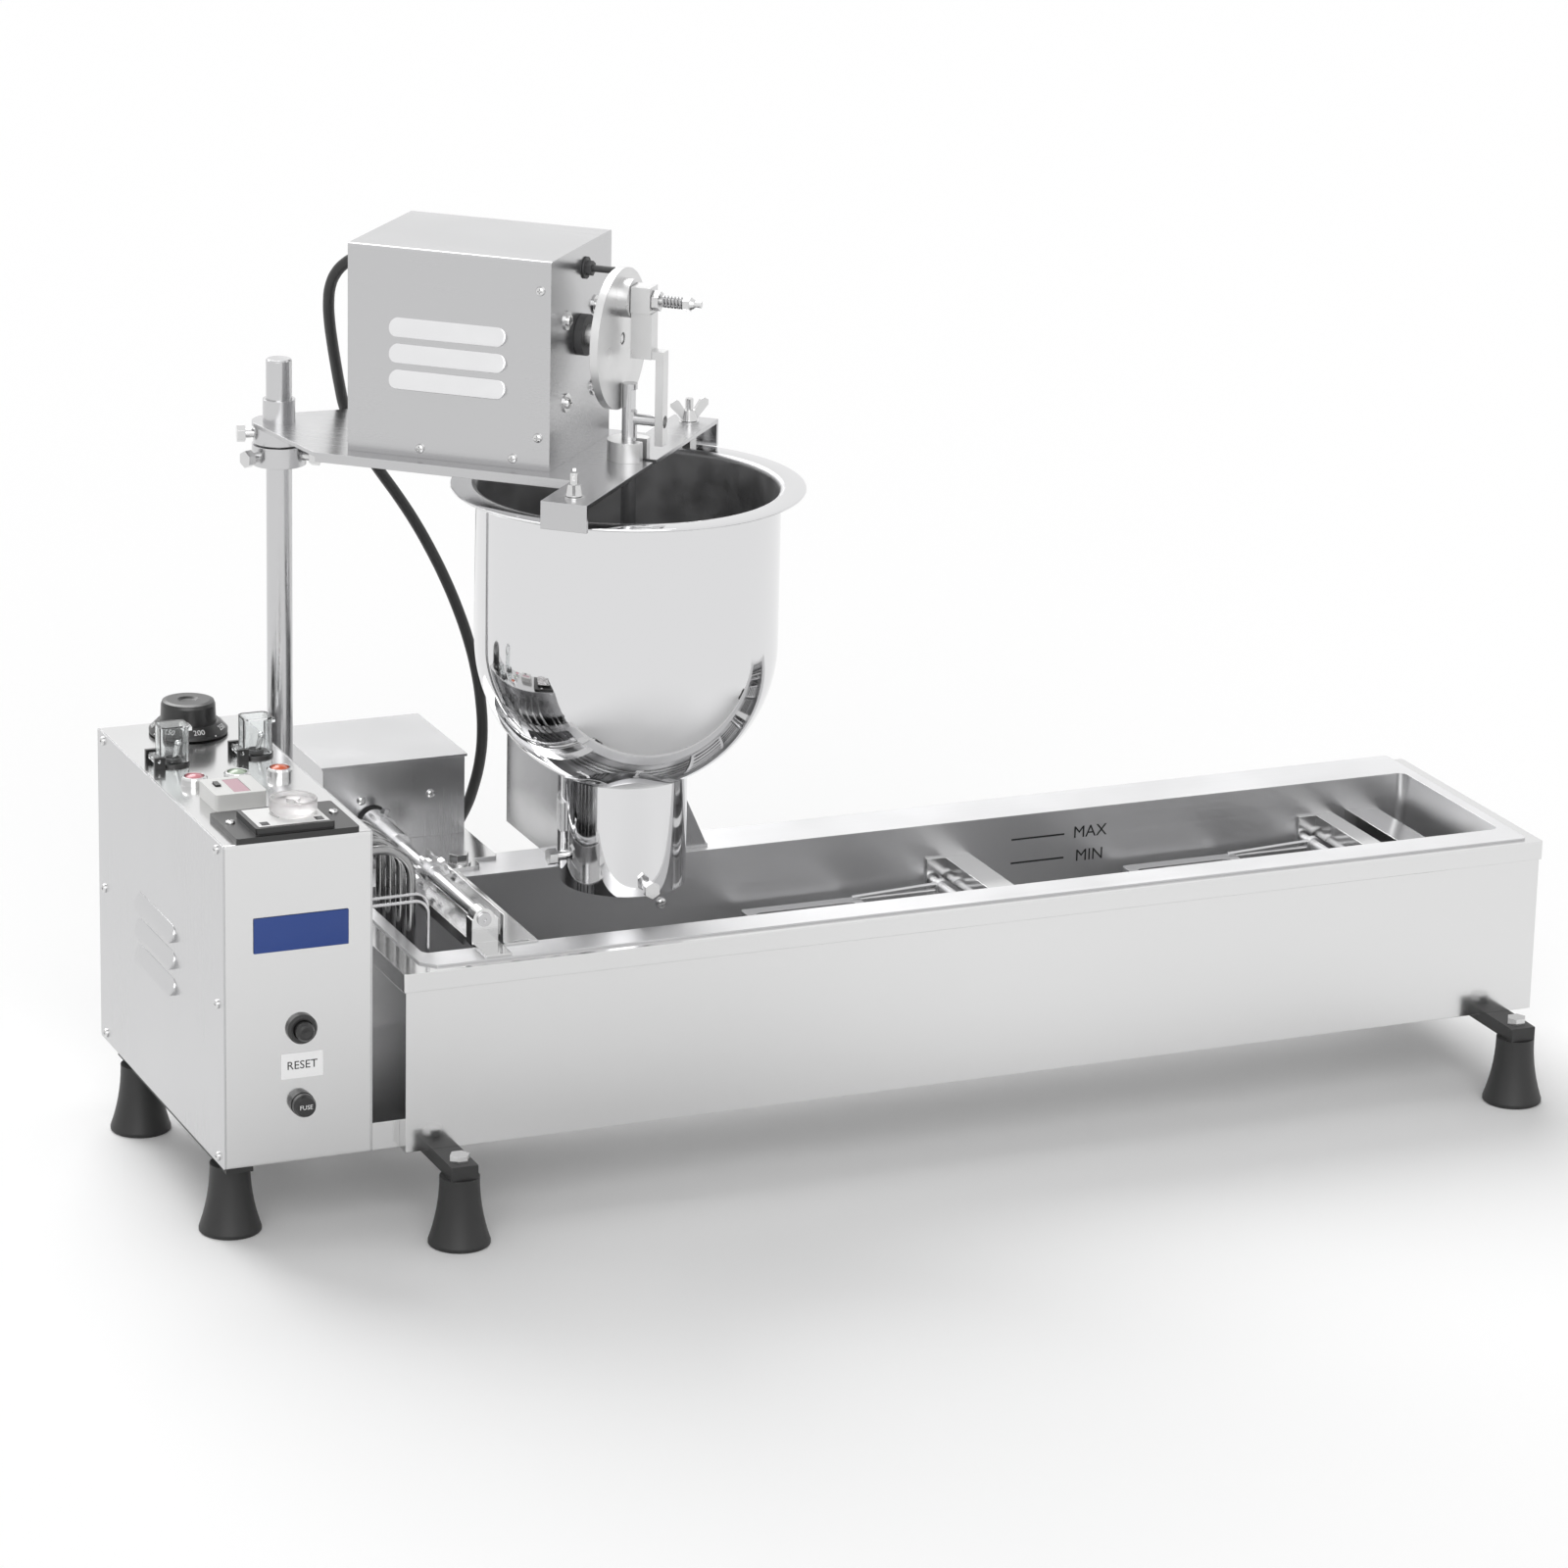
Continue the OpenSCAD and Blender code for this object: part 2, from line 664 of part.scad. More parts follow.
module reset_button() {
    color("#1c1c1c") placed() translate([reset_pos[0], 0, reset_pos[1]]) rotate([90, 0, 0]) {
        translate([0, 0, -8]) rotate_extrude() polygon([[0, 0], [button_r, 0], [button_r, 17],
            [button_r - 1.5, 19.5],
            [button_r - 3, 20], [0, 19.2]]);
    }
}

module fuse_cap() {
    color("#262626") placed() translate([fuse_pos[0], 0, fuse_pos[1]]) rotate([90, 0, 0]) difference() {
        union() {
            translate([0, 0, 3 + move_gap]) rotate_extrude()
                polygon([[0, 0], [8.4, 0], [8.4, 4], [7, 7.5], [0, 7.5]]);
            translate([0, 0, -20]) cylinder(r = fuse_r, h = 20 + 4);
        }
        translate([-5, -0.8, 9.4]) cube([10, 1.6, 3]);
    }
}

module link_channel() {
    z1 = base_z + 20.5;
    color("gray") placed() difference() {
        box_at(box_w, tank_x0, 3, 196, base_z, z1);
        box_at(box_w - 1, tank_x0 + 1, 3 + sheet_t, 196 - sheet_t, base_z - 1, z1 - sheet_t);
    }
}

// ---- Oil tank ----

module tank_housing() {
    t = sheet_t;
    o = rim_out;
    color("gainsboro") placed() difference() {
        union() {
            box_at(tank_x0, tank_x1, tank_y0, tank_y1, base_z, rim_top);
            round_box(tank_x0 - o, tank_x1 + o, tank_y0 - o, tank_y1 + o, rim_top - rim_h, rim_top, 2);
        }
        box_at(tank_x0 + t, tank_x1 - t, tank_y0 + t, tank_y1 - t, base_z + t, rim_top - t);
        box_at(tank_x0 + 20, tank_x1 - 13, tank_y0 + 22, tank_y1 - 22, base_z + t, rim_top + t);
        translate([mount_bolt_x, mount_bolt_y, rim_top - 5]) cylinder(r = foot_bolt_r + 0.1, h = 10);
    }
}

pan_corner = 8;
module oil_pan() {
    t = sheet_t;
    color("silver") placed() difference() {
        union() {
            translate([0, 0, rim_top]) linear_extrude(t) difference() {
                translate([pan_x0 - 9, pan_flange_y0])
                    round_rect(pan_l + 18, pan_flange_y1 - pan_flange_y0, 4);
                polygon([[pan_x0 - 10, pan_flange_y0 - 1], [pan_x0 + 2, pan_flange_y0 - 1],
                    [pan_x0 - 10, pan_flange_y0 + 12]]);
            }
            round_box(pan_x0 - t, pan_x1 + t, pan_y0 - t, pan_y1 + t, pan_floor - t, pan_top - eps,
                pan_corner);
        }
        round_box(pan_x0, pan_x1, pan_y0, pan_y1, pan_floor, pan_top + 1, pan_corner - t);
        translate([pan_x0 + 244, 0, pan_top - 38]) rod_y(pan_y1 - 5, pan_y1 + 5, 2.3);
        translate([mount_bolt_x, mount_bolt_y, rim_top - 5]) cylinder(r = foot_bolt_r + 0.1, h = 10);
    }
}

module foot_profile() {
    n = 8;
    polygon(concat([[0, 0], [foot_r - 1, 0], [foot_r, 1], [foot_r, 3]],
        [for (i = [1:n]) [foot_top_r + (foot_r - foot_top_r) * pow(1 - i / n, 2.1), 3 + (foot_h - 3)
            * i / n]],
        [[0, foot_h]]));
}

foot_places = concat([for (y = box_foot_y) [box_foot_x, y]],
    [for (x = tank_bar_x) for (y = tank_foot_y) [x, y]]);

module feet() {
    color("#262626") placed() for (p = foot_places) translate([p[0], p[1], 0]) difference() {
        rotate_extrude() foot_profile();
        translate([0, 0, foot_h - 20]) cylinder(r = foot_bolt_r + 0.05, h = 21);
    }
}

module support_bars() {
    color("#303030") placed() {
        for (x = tank_bar_x) difference() {
            box_at(x - bar_w / 2, x + bar_w / 2, tank_foot_y[0] - bar_end, tank_foot_y[1] + bar_end,
                foot_h, base_z);
            for (y = tank_foot_y) translate([x, y, foot_h - 1]) cylinder(r = foot_bolt_r + 0.05,
                h = bar_t + 2);
        }
        difference() {
            box_at(box_foot_x - 10, box_foot_x + 10, box_foot_y[0] - 23, box_foot_y[1] + 23, foot_h,
                base_z);
            for (y = box_foot_y) translate([box_foot_x, y, foot_h - 1])
                cylinder(r = foot_bolt_r + 0.05, h = bar_t + 2);
        }
    }
}

hub_bolt_z = hopper_top + 9.5;
collar_h = 15;
collar_z = hopper_top - 13.5;
clamp_bolt_z = collar_z + collar_h / 2;
collar_r = 20;
// Directions that the post's clamp bolts point in, turned about the post
hub_bolt_angle = 168;
clamp_bolt_angles = [200, 318];
neck_bolts = [[-90, neck_z + 8], [180, neck_z + 22]];
mount_bolt_x = pan_x0 + 91;
mount_bolt_y = pan_y1 + 23;

module hex_bolts() {
    color("lightgray") placed() {
        for (p = foot_places) translate([p[0], p[1], p[0] == box_foot_x ? base_z + sheet_t : base_z])
            hex_bolt(bolt_af, bolt_head_h, foot_bolt_r, bar_t + 15);
        translate([mount_bolt_x, mount_bolt_y, mount_top]) {
            tube(9, 4.2, 1.5);
            translate([0, 0, 1.5]) hex_bolt(bolt_af, 6.5, foot_bolt_r, mount_t + 10);
        }
        translate([post_x, post_y, 0]) {
            rotate([0, 0, hub_bolt_angle]) translate([hub_r + 6, 0, hub_bolt_z]) rotate([0, 90, 0])
                hex_bolt(11, 6, 3.5, 14.5);
            for (a = clamp_bolt_angles) rotate([0, 0, a]) translate([collar_r + 6, 0, clamp_bolt_z])
                rotate([0, 90, 0]) hex_bolt(11, 6, 3.5, 15.5);
        }
        translate([hopper_x, hopper_y, 0]) for (b = neck_bolts) rotate([0, 0, b[0]])
            translate([neck_r + 7, 0, b[1]]) rotate([0, 90, 0]) hex_bolt(11, 6, 3.5, 7 + hopper_t + 0.2);
    }
}

// Bend of a tube in the XZ plane, about the Y axis through the origin
module bend_xz(r_bend, r, a0, a1) {
    rotate([90, 0, 0]) rotate([0, 0, a0]) rotate_extrude(angle = a1 - a0)
        translate([r_bend, 0]) circle(r = r);
}

module heater_leg(y, x_end) {
    r = heater_r;
    b = heater_bend;
    bl = 10;
    translate([0, y, 0]) {
        translate([0, 0, heater_z]) rod_x(box_w - 12, heater_leg_x - b, r);
        translate([heater_leg_x - b, 0, heater_z - b]) bend_xz(b, r, 0, 90);
        translate([heater_leg_x, 0, heater_floor_z + bl]) cylinder(r = r,
            h = heater_z - b - heater_floor_z - bl);
        translate([heater_leg_x + bl, 0, heater_floor_z + bl]) bend_xz(bl, r, 180, 270);
        translate([0, 0, heater_floor_z]) rod_x(heater_leg_x + bl, x_end, r);
    }
}

// Two hairpin elements, one inside the other
module heater_tubes() {
    color("darkgray") placed() for (pair = [[0, 3], [1, 2]]) {
        half = (heater_legs[pair[1]] - heater_legs[pair[0]]) / 2;
        mid = (heater_legs[pair[1]] + heater_legs[pair[0]]) / 2;
        heater_leg(heater_legs[pair[0]], heater_x1 - half);
        heater_leg(heater_legs[pair[1]], heater_x1 - half);
        translate([heater_x1 - half, mid, heater_floor_z]) rotate([0, 0, -90])
            rotate_extrude(angle = 180) translate([half, 0]) circle(r = heater_r);
    }
}

// Thermostat capillaries: a thin tube over the pan's edge to a sensing bulb
module capillary_tubes() {
    r = capillary_r;
    b = 10;
    color("#c8c8c0") placed() for (i = [0, 1]) {
        x = pan_x0 + 6 + i * 5;
        translate([0, capillary_y[i], 0]) {
            translate([0, 0, capillary_z]) rod_x(box_w - 12, x - b, r);
            translate([x - b, 0, capillary_z - b]) bend_xz(b, r, 0, 90);
            translate([x, 0, pan_floor + 90]) cylinder(r = r, h = capillary_z - b - pan_floor - 90);
            translate([x, 0, pan_floor + 12]) cylinder(r = 3, h = 78);
        }
    }
}

ear_t = 3;
module cross_bars() {
    t = sheet_t;
    color("silver") placed() for (i = [0, 1]) {
        x = cross_bar_x[i];
        w = cross_bar_w[i];
        z1 = cross_bar_top;
        z0 = z1 - cross_bar_h;
        difference() {
            box_at(x, x + w, pan_y0, pan_y1, z0, z1);
            box_at(x + t, x + w - t, pan_y0 - 1, pan_y1 + 1, z0 - 1, z1 - t);
        }
        for (y = [pan_y0, pan_y1 - ear_t]) difference() {
            box_at(flip_x[i] - 8, x + eps, y, y + ear_t, flip_z - 8, z1);
            translate([flip_x[i], 0, flip_z]) rod_y(y - 1, y + ear_t + 1, flip_shaft_r + run_fit);
        }
    }
}

chute_x0 = cross_bar_x[1] + cross_bar_w[1] + 11;
chute_l = 31;
module output_chute() {
    t = sheet_t;
    z1 = cross_bar_top + 2;
    color("silver") placed() translate([chute_x0, pan_y1, 0]) rotate([90, 0, 0])
        linear_extrude(pan_w) polygon([[0, z1 - 16], [t, z1 - 16], [t, z1 - t], [chute_l - t, z1 - t - 4],
            [chute_l - t, z1 - 20], [chute_l, z1 - 20], [chute_l, z1 - 4], [0, z1]]);
}

// Flipper: slotted plate on two pairs of rods that turn about a shaft across the pan
plate_t = 2;
slot_count = 5;
module flipper(i) {
    x = flip_x[i];
    xa = x - flip_arm_l;
    xb = xa - flip_plate_l;
    z0 = flip_z - 1;
    y0 = flip_y0;
    y1 = flip_y1;
    pitch = (y1 - y0 - 10) / slot_count;
    color("silver") placed() {
        difference() {
            round_box(xb, xa, y0, y1, z0 - plate_t, z0, 3);
            for (k = [0:slot_count - 1])
                translate([(xa + xb) / 2, y0 + 5 + pitch * (k + 0.5), z0 - plate_t - 1])
                    linear_extrude(plate_t + 2) slot(flip_plate_l - 14, pitch - 11);
        }
        difference() {
            box_at(xb, xb + 1.5, y0 + 3, y1 - 3, z0 - 8, z0 - plate_t + eps);
            translate([xb - 1, 0, z0 - 8]) for (y = [y0 + 20:28:y1 - 15])
                translate([0, y, 0]) rotate([0, 90, 0]) cylinder(r = 4, h = 4);
        }
        for (y = [y0 + 4, y1 - 4]) {
            translate([0, y, z0 - 1]) rod_x(xa - 4, x, 1.6);
            translate([xa - 6, y, z0 + 1]) rotate([0, 90 - 2.5, 0]) cylinder(r = 1.6, h = flip_arm_l + 1);
            translate([x, 0, flip_z]) rod_y(y - 2.5, y + 2.5, 6.2);
        }
        translate([x, 0, flip_z]) rod_y(pan_y0 + 0.4, pan_y1 - 0.4, flip_shaft_r);
        translate([x, 0, flip_z]) rotate([0, -flip_crank_angle, 0]) {
            box_at(0, flip_crank, flip_crank_y, flip_crank_y + 3, -4, 4);
            translate([flip_crank, 0, 0]) {
                rod_y(flip_crank_y, flip_crank_y + 3, 4);
                rod_y(flip_crank_y, link_y + link_t + 1.5, link_pin_r);
            }
        }
    }
}
module flipper_1() {
    flipper(0);
}
module flipper_2() {
    flipper(1);
}

// Link bar that makes both flippers turn together, with a riser under the star wheel
link_dx = flip_crank * cos(flip_crank_angle);
link_z = flip_z + flip_crank * sin(flip_crank_angle);
module flipper_link() {
    color("gray") placed() difference() {
        union() {
            box_at(link_x0, flip_x[1] + link_dx, link_y, link_y + link_t, link_z - 4, link_z + 4);
            box_at(link_x0, link_x0 + 6, link_y, link_y + link_t, link_z - 4, pan_top - 21);
            translate([link_x0 + 3, 0, pan_top - 21]) rod_y(link_y, link_y + link_t + 4, 4);
            translate([flip_x[1] + link_dx, 0, link_z]) rod_y(link_y, link_y + link_t, 5);
            translate([flip_x[0] + link_dx, 0, link_z]) rod_y(link_y, link_y + link_t, 5);
        }
        for (x = flip_x) translate([x + link_dx, 0, link_z])
            rod_y(link_y - 1, link_y + link_t + 1, link_pin_r + run_fit);
    }
}

// ---- Flipper drive at the left end of the pan ----

bridge_t = 2;
module drive_bridge() {
    z = pan_top;
    by = pan_y0 + 3;
    color("silver") placed() difference() {
        union() {
            box_at(bridge_x0, bridge_x1, pan_flange_y0 + 2, tank_y1 - 5, z, z + bridge_t);
            box_at(bridge_x0, bridge_x0 + bridge_t, pan_y0 + 24, pan_y1 - 2, z - 6, z + eps);
            box_at(shaft_x - 9, bridge_x1, by, by + 12, z, shaft_z);
            translate([shaft_x, 0, shaft_z]) rod_y(by, by + 12, 8);
        }
        translate([shaft_x, 0, shaft_z]) rod_y(by - 1, by + 13, shaft_r + run_fit);
    }
}

module splash_baffle() {
    t = sheet_t;
    z = pan_top;
    color("silver") placed() {
        box_at(baffle_x, baffle_x + t, pan_y0 + 1, mount_bolt_y - 11, z, z + 22);
        difference() {
            box_at(baffle_x, baffle_x + 25, pan_y0 - 4, mount_bolt_y - 11, z, z + t);
            translate([baffle_x + 13, pan_y0 - 1, z - 1]) linear_extrude(4) slot(12, 3);
        }
    }
}

module drive_shaft() {
    color("silver") placed() translate([shaft_x, 0, shaft_z]) difference() {
        union() {
            rod_y(pan_y0 + 1, drive_y0 + 8, shaft_r);
            rod_y(drive_y0 - 62, drive_y0 - 26, 9);
            rod_y(drive_y0 - 26, drive_y0 - 5, 11);
            for (a = [20, 140]) translate([0, drive_y0 - 16, 0]) rotate([0, a, 0])
                cylinder(d = 7, h = 15, $fn = 6);
        }
        rod_y(pan_y0, pan_y0 + 2, 1.5);
    }
}

star_teeth = 9;
module star_wheel() {
    color("darkgray") placed() translate([shaft_x, star_y, shaft_z]) rotate([90, 0, 0]) {
        linear_extrude(8) difference() {
            union() {
                circle(r = star_r - 3.5);
                for (k = [0:star_teeth - 1]) rotate(360 * k / star_teeth)
                    polygon([[6, -2.6], [star_r - 2, -1.8], [star_r, -1], [star_r, 1], [star_r - 2,
                        1.8], [6, 2.6]]);
            }
            circle(r = shaft_r);
        }
        translate([0, 0, -10]) tube(7.5, shaft_r, 10);
        translate([0, 0, 8]) tube(7.5, shaft_r, 6);
    }
}

module rear_mount_plate() {
    x0 = post_x - 20;
    x1 = drive_x1 + 4;
    y0 = tank_y1 - 5;
    y1 = drive_y1 - 4;
    color("silver") placed() difference() {
        union() {
            round_box(x0, x1, y0, y1, pan_top, mount_top, 3);
            round_box(mount_bolt_x - 24, mount_bolt_x + 14, mount_bolt_y - 11, y0 + 10, pan_top,
                mount_top, 6);
            for (x = [post_x + 6, drive_x1 - 26]) translate([x, 0, 0]) rotate([90, 0, 90])
                linear_extrude(3)
                polygon([[tank_y1, base_z + 35], [tank_y1, rim_top - rim_h - 0.3],
                    [tank_y1 + rim_out + 0.3, rim_top - rim_h - 0.3], [tank_y1 + rim_out + 0.3,
                        rim_top - 0.3],
                    [pan_flange_y1 + 0.3, rim_top - 0.3], [pan_flange_y1 + 0.3, pan_top + eps],
                    [drive_y1 - 34, pan_top + eps], [drive_y1 - 34, pan_top - 10]]);
        }
        translate([mount_bolt_x, mount_bolt_y, 0]) cylinder(r = foot_bolt_r + 0.1, h = 300);
    }
}

module gearmotor() {
    z0 = mount_top;
    color("dimgray") placed() {
        difference() {
            union() {
                box_at(shaft_x - 26, shaft_x + 34, drive_y0 + 6, drive_y0 + 56, z0, z0 + 50);
                translate([shaft_x, 0, shaft_z]) rod_y(drive_y0 + 2, drive_y0 + 7, 12);
            }
            translate([shaft_x, 0, shaft_z]) rod_y(drive_y0 - 5, drive_y0 + 30, shaft_r + run_fit);
        }
        translate([shaft_x + 4, 0, z0 + 27]) rod_y(drive_y0 + 56 - eps, drive_y0 + 100, 25);
    }
}

module drive_cover() {
    t = sheet_t;
    color("gainsboro") placed() difference() {
        union() {
            box_at(drive_x0, drive_x1, drive_y0, drive_y1, mount_top, drive_top - 1);
            box_at(drive_x0 - 1.5, drive_x1 + 1.5, drive_y0 - 1.5, drive_y1, drive_top - 2, drive_top);
        }
        box_at(drive_x0 + t, drive_x1 - t, drive_y0 + t, drive_y1 - t, mount_top - 1, drive_top - t - 1);
        translate([shaft_x, 0, shaft_z]) rod_y(drive_y0 - 5, drive_y0 + 5, 12.5);
        for (x = drive_screw_x) translate([x, 0, drive_screw_z]) rod_y(drive_y0 - 2, drive_y0 + 4,
            screw_hole_r);
    }
}

// ---- Post and arm ----

module post() {
    color("silver") placed() translate([post_x, post_y, mount_top]) {
        cylinder(r = 24, h = 5);
        cylinder(r = 15, h = 26);
        rotate_extrude() polygon([[0, 0], [post_r, 0], [post_r, post_top - mount_top - 1],
            [post_r - 1, post_top - mount_top], [0, post_top - mount_top]]);
    }
}

module arm_hub() {
    z0 = hopper_top + 2.7;
    z1 = arm_top - arm_t;
    color("silver") placed() translate([post_x, post_y, 0]) {
        difference() {
            union() {
                translate([0, 0, z0]) cylinder(r = hub_r, h = z1 - z0);
                translate([0, 0, z1 - eps]) cylinder(r = sleeve_r - 0.05, h = arm_t + sleeve_h);
            }
            cylinder(r = post_r + 0.1, h = 1000);
            rotate([0, 0, hub_bolt_angle]) translate([0, 0, hub_bolt_z]) rod_x(0, 40, 3.55);
        }
        difference() {
            translate([0, 0, collar_z]) cylinder(r = collar_r, h = collar_h);
            cylinder(r = post_r + 0.1, h = 1000);
            for (a = clamp_bolt_angles) rotate([0, 0, a]) translate([0, 0, clamp_bolt_z]) rod_x(0, 40,
                3.55);
        }
    }
}

// Upper tangent point of the arm's round end, seen from the arm's shoulder corner
function tangent_point(corner, centre, r) =
    let (d = norm(corner - centre), a = atan2(corner[1] - centre[1], corner[0] - centre[0]),
        off = acos(r / d)) centre + r * [cos(a + off), sin(a + off)];

module arm_outline() {
    c = [-arm_len, 0];
    p = tangent_point([arm_shoulder_a, arm_half], c, 20);
    translate(c) circle(r = 20);
    polygon([[arm_shoulder_a, arm_half], p, [p[0], -p[1]], [arm_shoulder_a, -arm_half], [cross_a0 + 1,
        -arm_half],
        [cross_a0 + 1, arm_half]]);
}

module arm_plate() {
    t = arm_t;
    z0 = arm_top - t;
    color("silver") on_arm() difference() {
        union() {
            translate([0, 0, z0]) linear_extrude(t) arm_outline();
            for (s = [-1, 1]) translate([0, s * (arm_half - t / 2), 0])
                box_at(arm_shoulder_a + 1, cross_a0 + 1, -t / 2, t / 2, arm_top - arm_lip, z0 + eps);
            box_at(cross_a0, cross_a1, -cross_half, cross_half, z0, arm_top);
            for (s = [-1, 1]) translate([0, s * (cross_half - t / 2), 0])
                box_at(cross_a0, cross_a1, -t / 2, t / 2, arm_top - cross_drop, z0 + eps);
        }
        translate([-arm_len, 0, 0]) cylinder(r = sleeve_r, h = 1000);
        cylinder(r = rod_r + 1, h = 1000);
        box_at(0, cross_a1 + 1, -cross_pin_r - move_gap, cross_pin_r + move_gap, z0 - 1, arm_top + 1);
        for (s = [-1, 1]) translate([stud_a, s * stud_b, 0]) cylinder(r = stud_r + 0.1, h = 1000);
    }
}

module flange_studs() {
    color("lightgray") on_arm() for (s = [-1, 1]) translate([stud_a, s * stud_b, hopper_top]) {
        cylinder(d = 12, h = arm_top - arm_t - hopper_top, $fn = 6);
        cylinder(r = stud_r, h = stud_top - hopper_top);
        translate([0, 0, arm_top - hopper_top]) tube(7.5, stud_r + 0.1, 1.2);
    }
}

wing_z = arm_top + 1.2 + 0.3;
module wing_nut(s, turn) {
    color("lightgray") on_arm() translate([stud_a, s * stud_b, wing_z]) rotate([0, 0, turn]) difference() {
        union() {
            cylinder(r1 = 6, r2 = 4.6, h = 8);
            for (m = [0, 180]) rotate([0, 0, m]) translate([3.5, 0, 4]) rotate([90, 0, 0])
                linear_extrude(2.2, center = true)
                    polygon([[0, -3], [3, -2.5], [11.5, 7], [11.5, 10.5], [8, 12.5], [5.5, 11.5], [0,
                        3.5]]);
        }
        translate([0, 0, -1]) cylinder(r = stud_r + run_fit, h = 20);
    }
}
module wing_nut_front() {
    wing_nut(-1, 110);
}
module wing_nut_rear() {
    wing_nut(1, 45);
}

module motor_cover() {
    t = sheet_t;
    w = motor_w / 2;
    z1 = arm_top + motor_h;
    lz = [arm_top + 94, arm_top + 75, arm_top + 56];
    la = -116;
    color("gainsboro") on_arm() difference() {
        union() {
            difference() {
                translate([motor_a0, 0, arm_top]) rotate([90, 0, 90]) linear_extrude(motor_l)
                    translate([-w, -4]) intersection() {
                        round_rect(2 * w, motor_h + 4, 2);
                        translate([0, 4]) square([2 * w, motor_h]);
                    }
                box_at(motor_a0 + t, motor_a1 - t, -w + t, w - t, arm_top - 1, z1 - t);
                for (z = lz) {
                    translate([la, -w, z]) rotate([90, 0, 0]) louvre_slot();
                    translate([la, w, z]) rotate([90, 0, 180]) louvre_slot();
                }
            }
            for (z = lz) {
                translate([la, -w, z]) rotate([90, 0, 0]) louvre_hood();
                translate([la, w, z]) rotate([90, 0, 180]) louvre_hood();
            }
        }
        translate([0, 0, crank_z]) rod_x(motor_a1 - 5, motor_a1 + 5, 12.5);
        for (p = motor_screws) translate([p[0], 0, arm_top + p[1]]) rod_y(-w - 2, -w + 5, screw_hole_r);
        for (b = [-1, 1]) for (z = crank_screw_z) translate([0, b * crank_screw_b, z])
            rod_x(motor_a1 - 5, motor_a1 + 5, 2.2);
        translate([0, 8, crank_z + 47]) rod_x(motor_a1 - 5, motor_a1 + 5, 2.6);
        translate([0, motor_gland_b, arm_top + motor_h - 26]) rod_x(motor_a0 - 4, motor_a0 + 5,
            cable_d / 2 + 0.4);
    }
}

module crank_motor() {
    color("dimgray") on_arm() {
        difference() {
            union() {
                box_at(motor_a1 - 52, motor_a1 - 2, -44, 44, arm_top, arm_top + 118);
                translate([0, 0, crank_z]) rod_x(motor_a1 - 3, motor_a1 + 0.2, 12);
                translate([0, 0, crank_z]) rod_x(motor_a1 + 0.2 - eps, motor_a1 + 6, 15);
            }
            translate([0, 0, crank_z]) rod_x(motor_a1 - 42, motor_a1 + 10, crank_shaft_r + run_fit);
            for (b = [-1, 1]) for (z = crank_screw_z) translate([0, b * crank_screw_b, z])
                rod_x(motor_a1 - 10, motor_a1, 2.2);
        }
        translate([0, -4, arm_top + 60]) rod_x(motor_a0 + 12, motor_a1 - 52 + eps, 38);
        translate([0, 8, crank_z + 47]) {
            rod_x(motor_a1 - 6, motor_a1 + 22, 2.5);
            translate([motor_a1 + 0.2, 0, 0]) rotate([0, 90, 0]) {
                tube(8, 2.4, 1.2);
                translate([0, 0, 1.2]) cylinder(d = 11, h = 4.5, $fn = 6);
            }
        }
    }
}

module crank_disc() {
    color("silver") on_arm() {
        translate([0, 0, crank_z]) {
            difference() {
                union() {
                    rod_x(crank_a0, crank_face, crank_r);
                    rod_x(crank_bore_z0, crank_a0 + eps, crank_shaft_r);
                    rod_x(crank_a0 - 9, crank_a0 + eps, 13);
                }
                rod_x(crank_face - 2, crank_face + 1, 4.5);
            }
            translate([crank_face - 2.5, 0, 0]) rotate([0, 90, 0]) cylinder(d = 6.5, h = 2, $fn = 6);
        }
        translate([0, 0, pin_z]) {
            rod_x(crank_face - eps, boss_a1, 14);
            rod_x(boss_a1 - eps, block_a1 + move_gap, pin_r);
            translate([stud_nut_a, 0, 0]) rotate([0, 90, 0]) cylinder(d = 15, h = 5, $fn = 6);
            rod_x(stud_nut_a, crank_stud_a1, 2.5);
            translate([spring_a1 + 0.2, 0, 0]) rotate([0, 90, 0]) {
                cylinder(d = 11, h = 5, $fn = 6);
                translate([0, 0, 5]) cylinder(d1 = 9, d2 = 6, h = 3);
            }
        }
    }
}

spring_coil_r = 3.8;
spring_wire_r = 0.8;
spring_turns = 6;
module link_spring() {
    l = spring_a1 - spring_a0 - 2 * spring_wire_r - 0.4;
    steps = 12 * spring_turns;
    color("lightgray") on_arm() translate([spring_a0 + spring_wire_r + 0.2, 0, pin_z]) rotate([0, 90, 0])
        swept_tube([for (i = [0:steps]) [spring_coil_r * cos(30 * i), spring_coil_r * sin(30 * i),
            l * i / steps]], spring_wire_r, 6);
}

module crank_link() {
    lower_z0 = crank_z - 12;
    lower_z1 = pin_z - 9;
    color("silver") on_arm() difference() {
        union() {
            box_at(block_a0, block_a1, -8, 8, pin_z - 9, pin_z + 10);
            box_at(block_a0, block_a1 + 1, -6.5, 6.5, lower_z0, lower_z1 + eps);
            box_at(block_a1 - 4, bar_a1, -5, 5, lower_z0, lower_z0 + 6);
            box_at(bar_a0, bar_a1, -5, 5, cross_pin_z - 17, lower_z0 + 6);
        }
        translate([0, 0, pin_z]) rod_x(block_a0 - 1, block_a1 + 1, pin_r + run_fit);
        translate([0, 0, cross_pin_z]) rod_x(bar_a0 - 1, bar_a1 + 1, cross_pin_r + 0.5);
    }
}

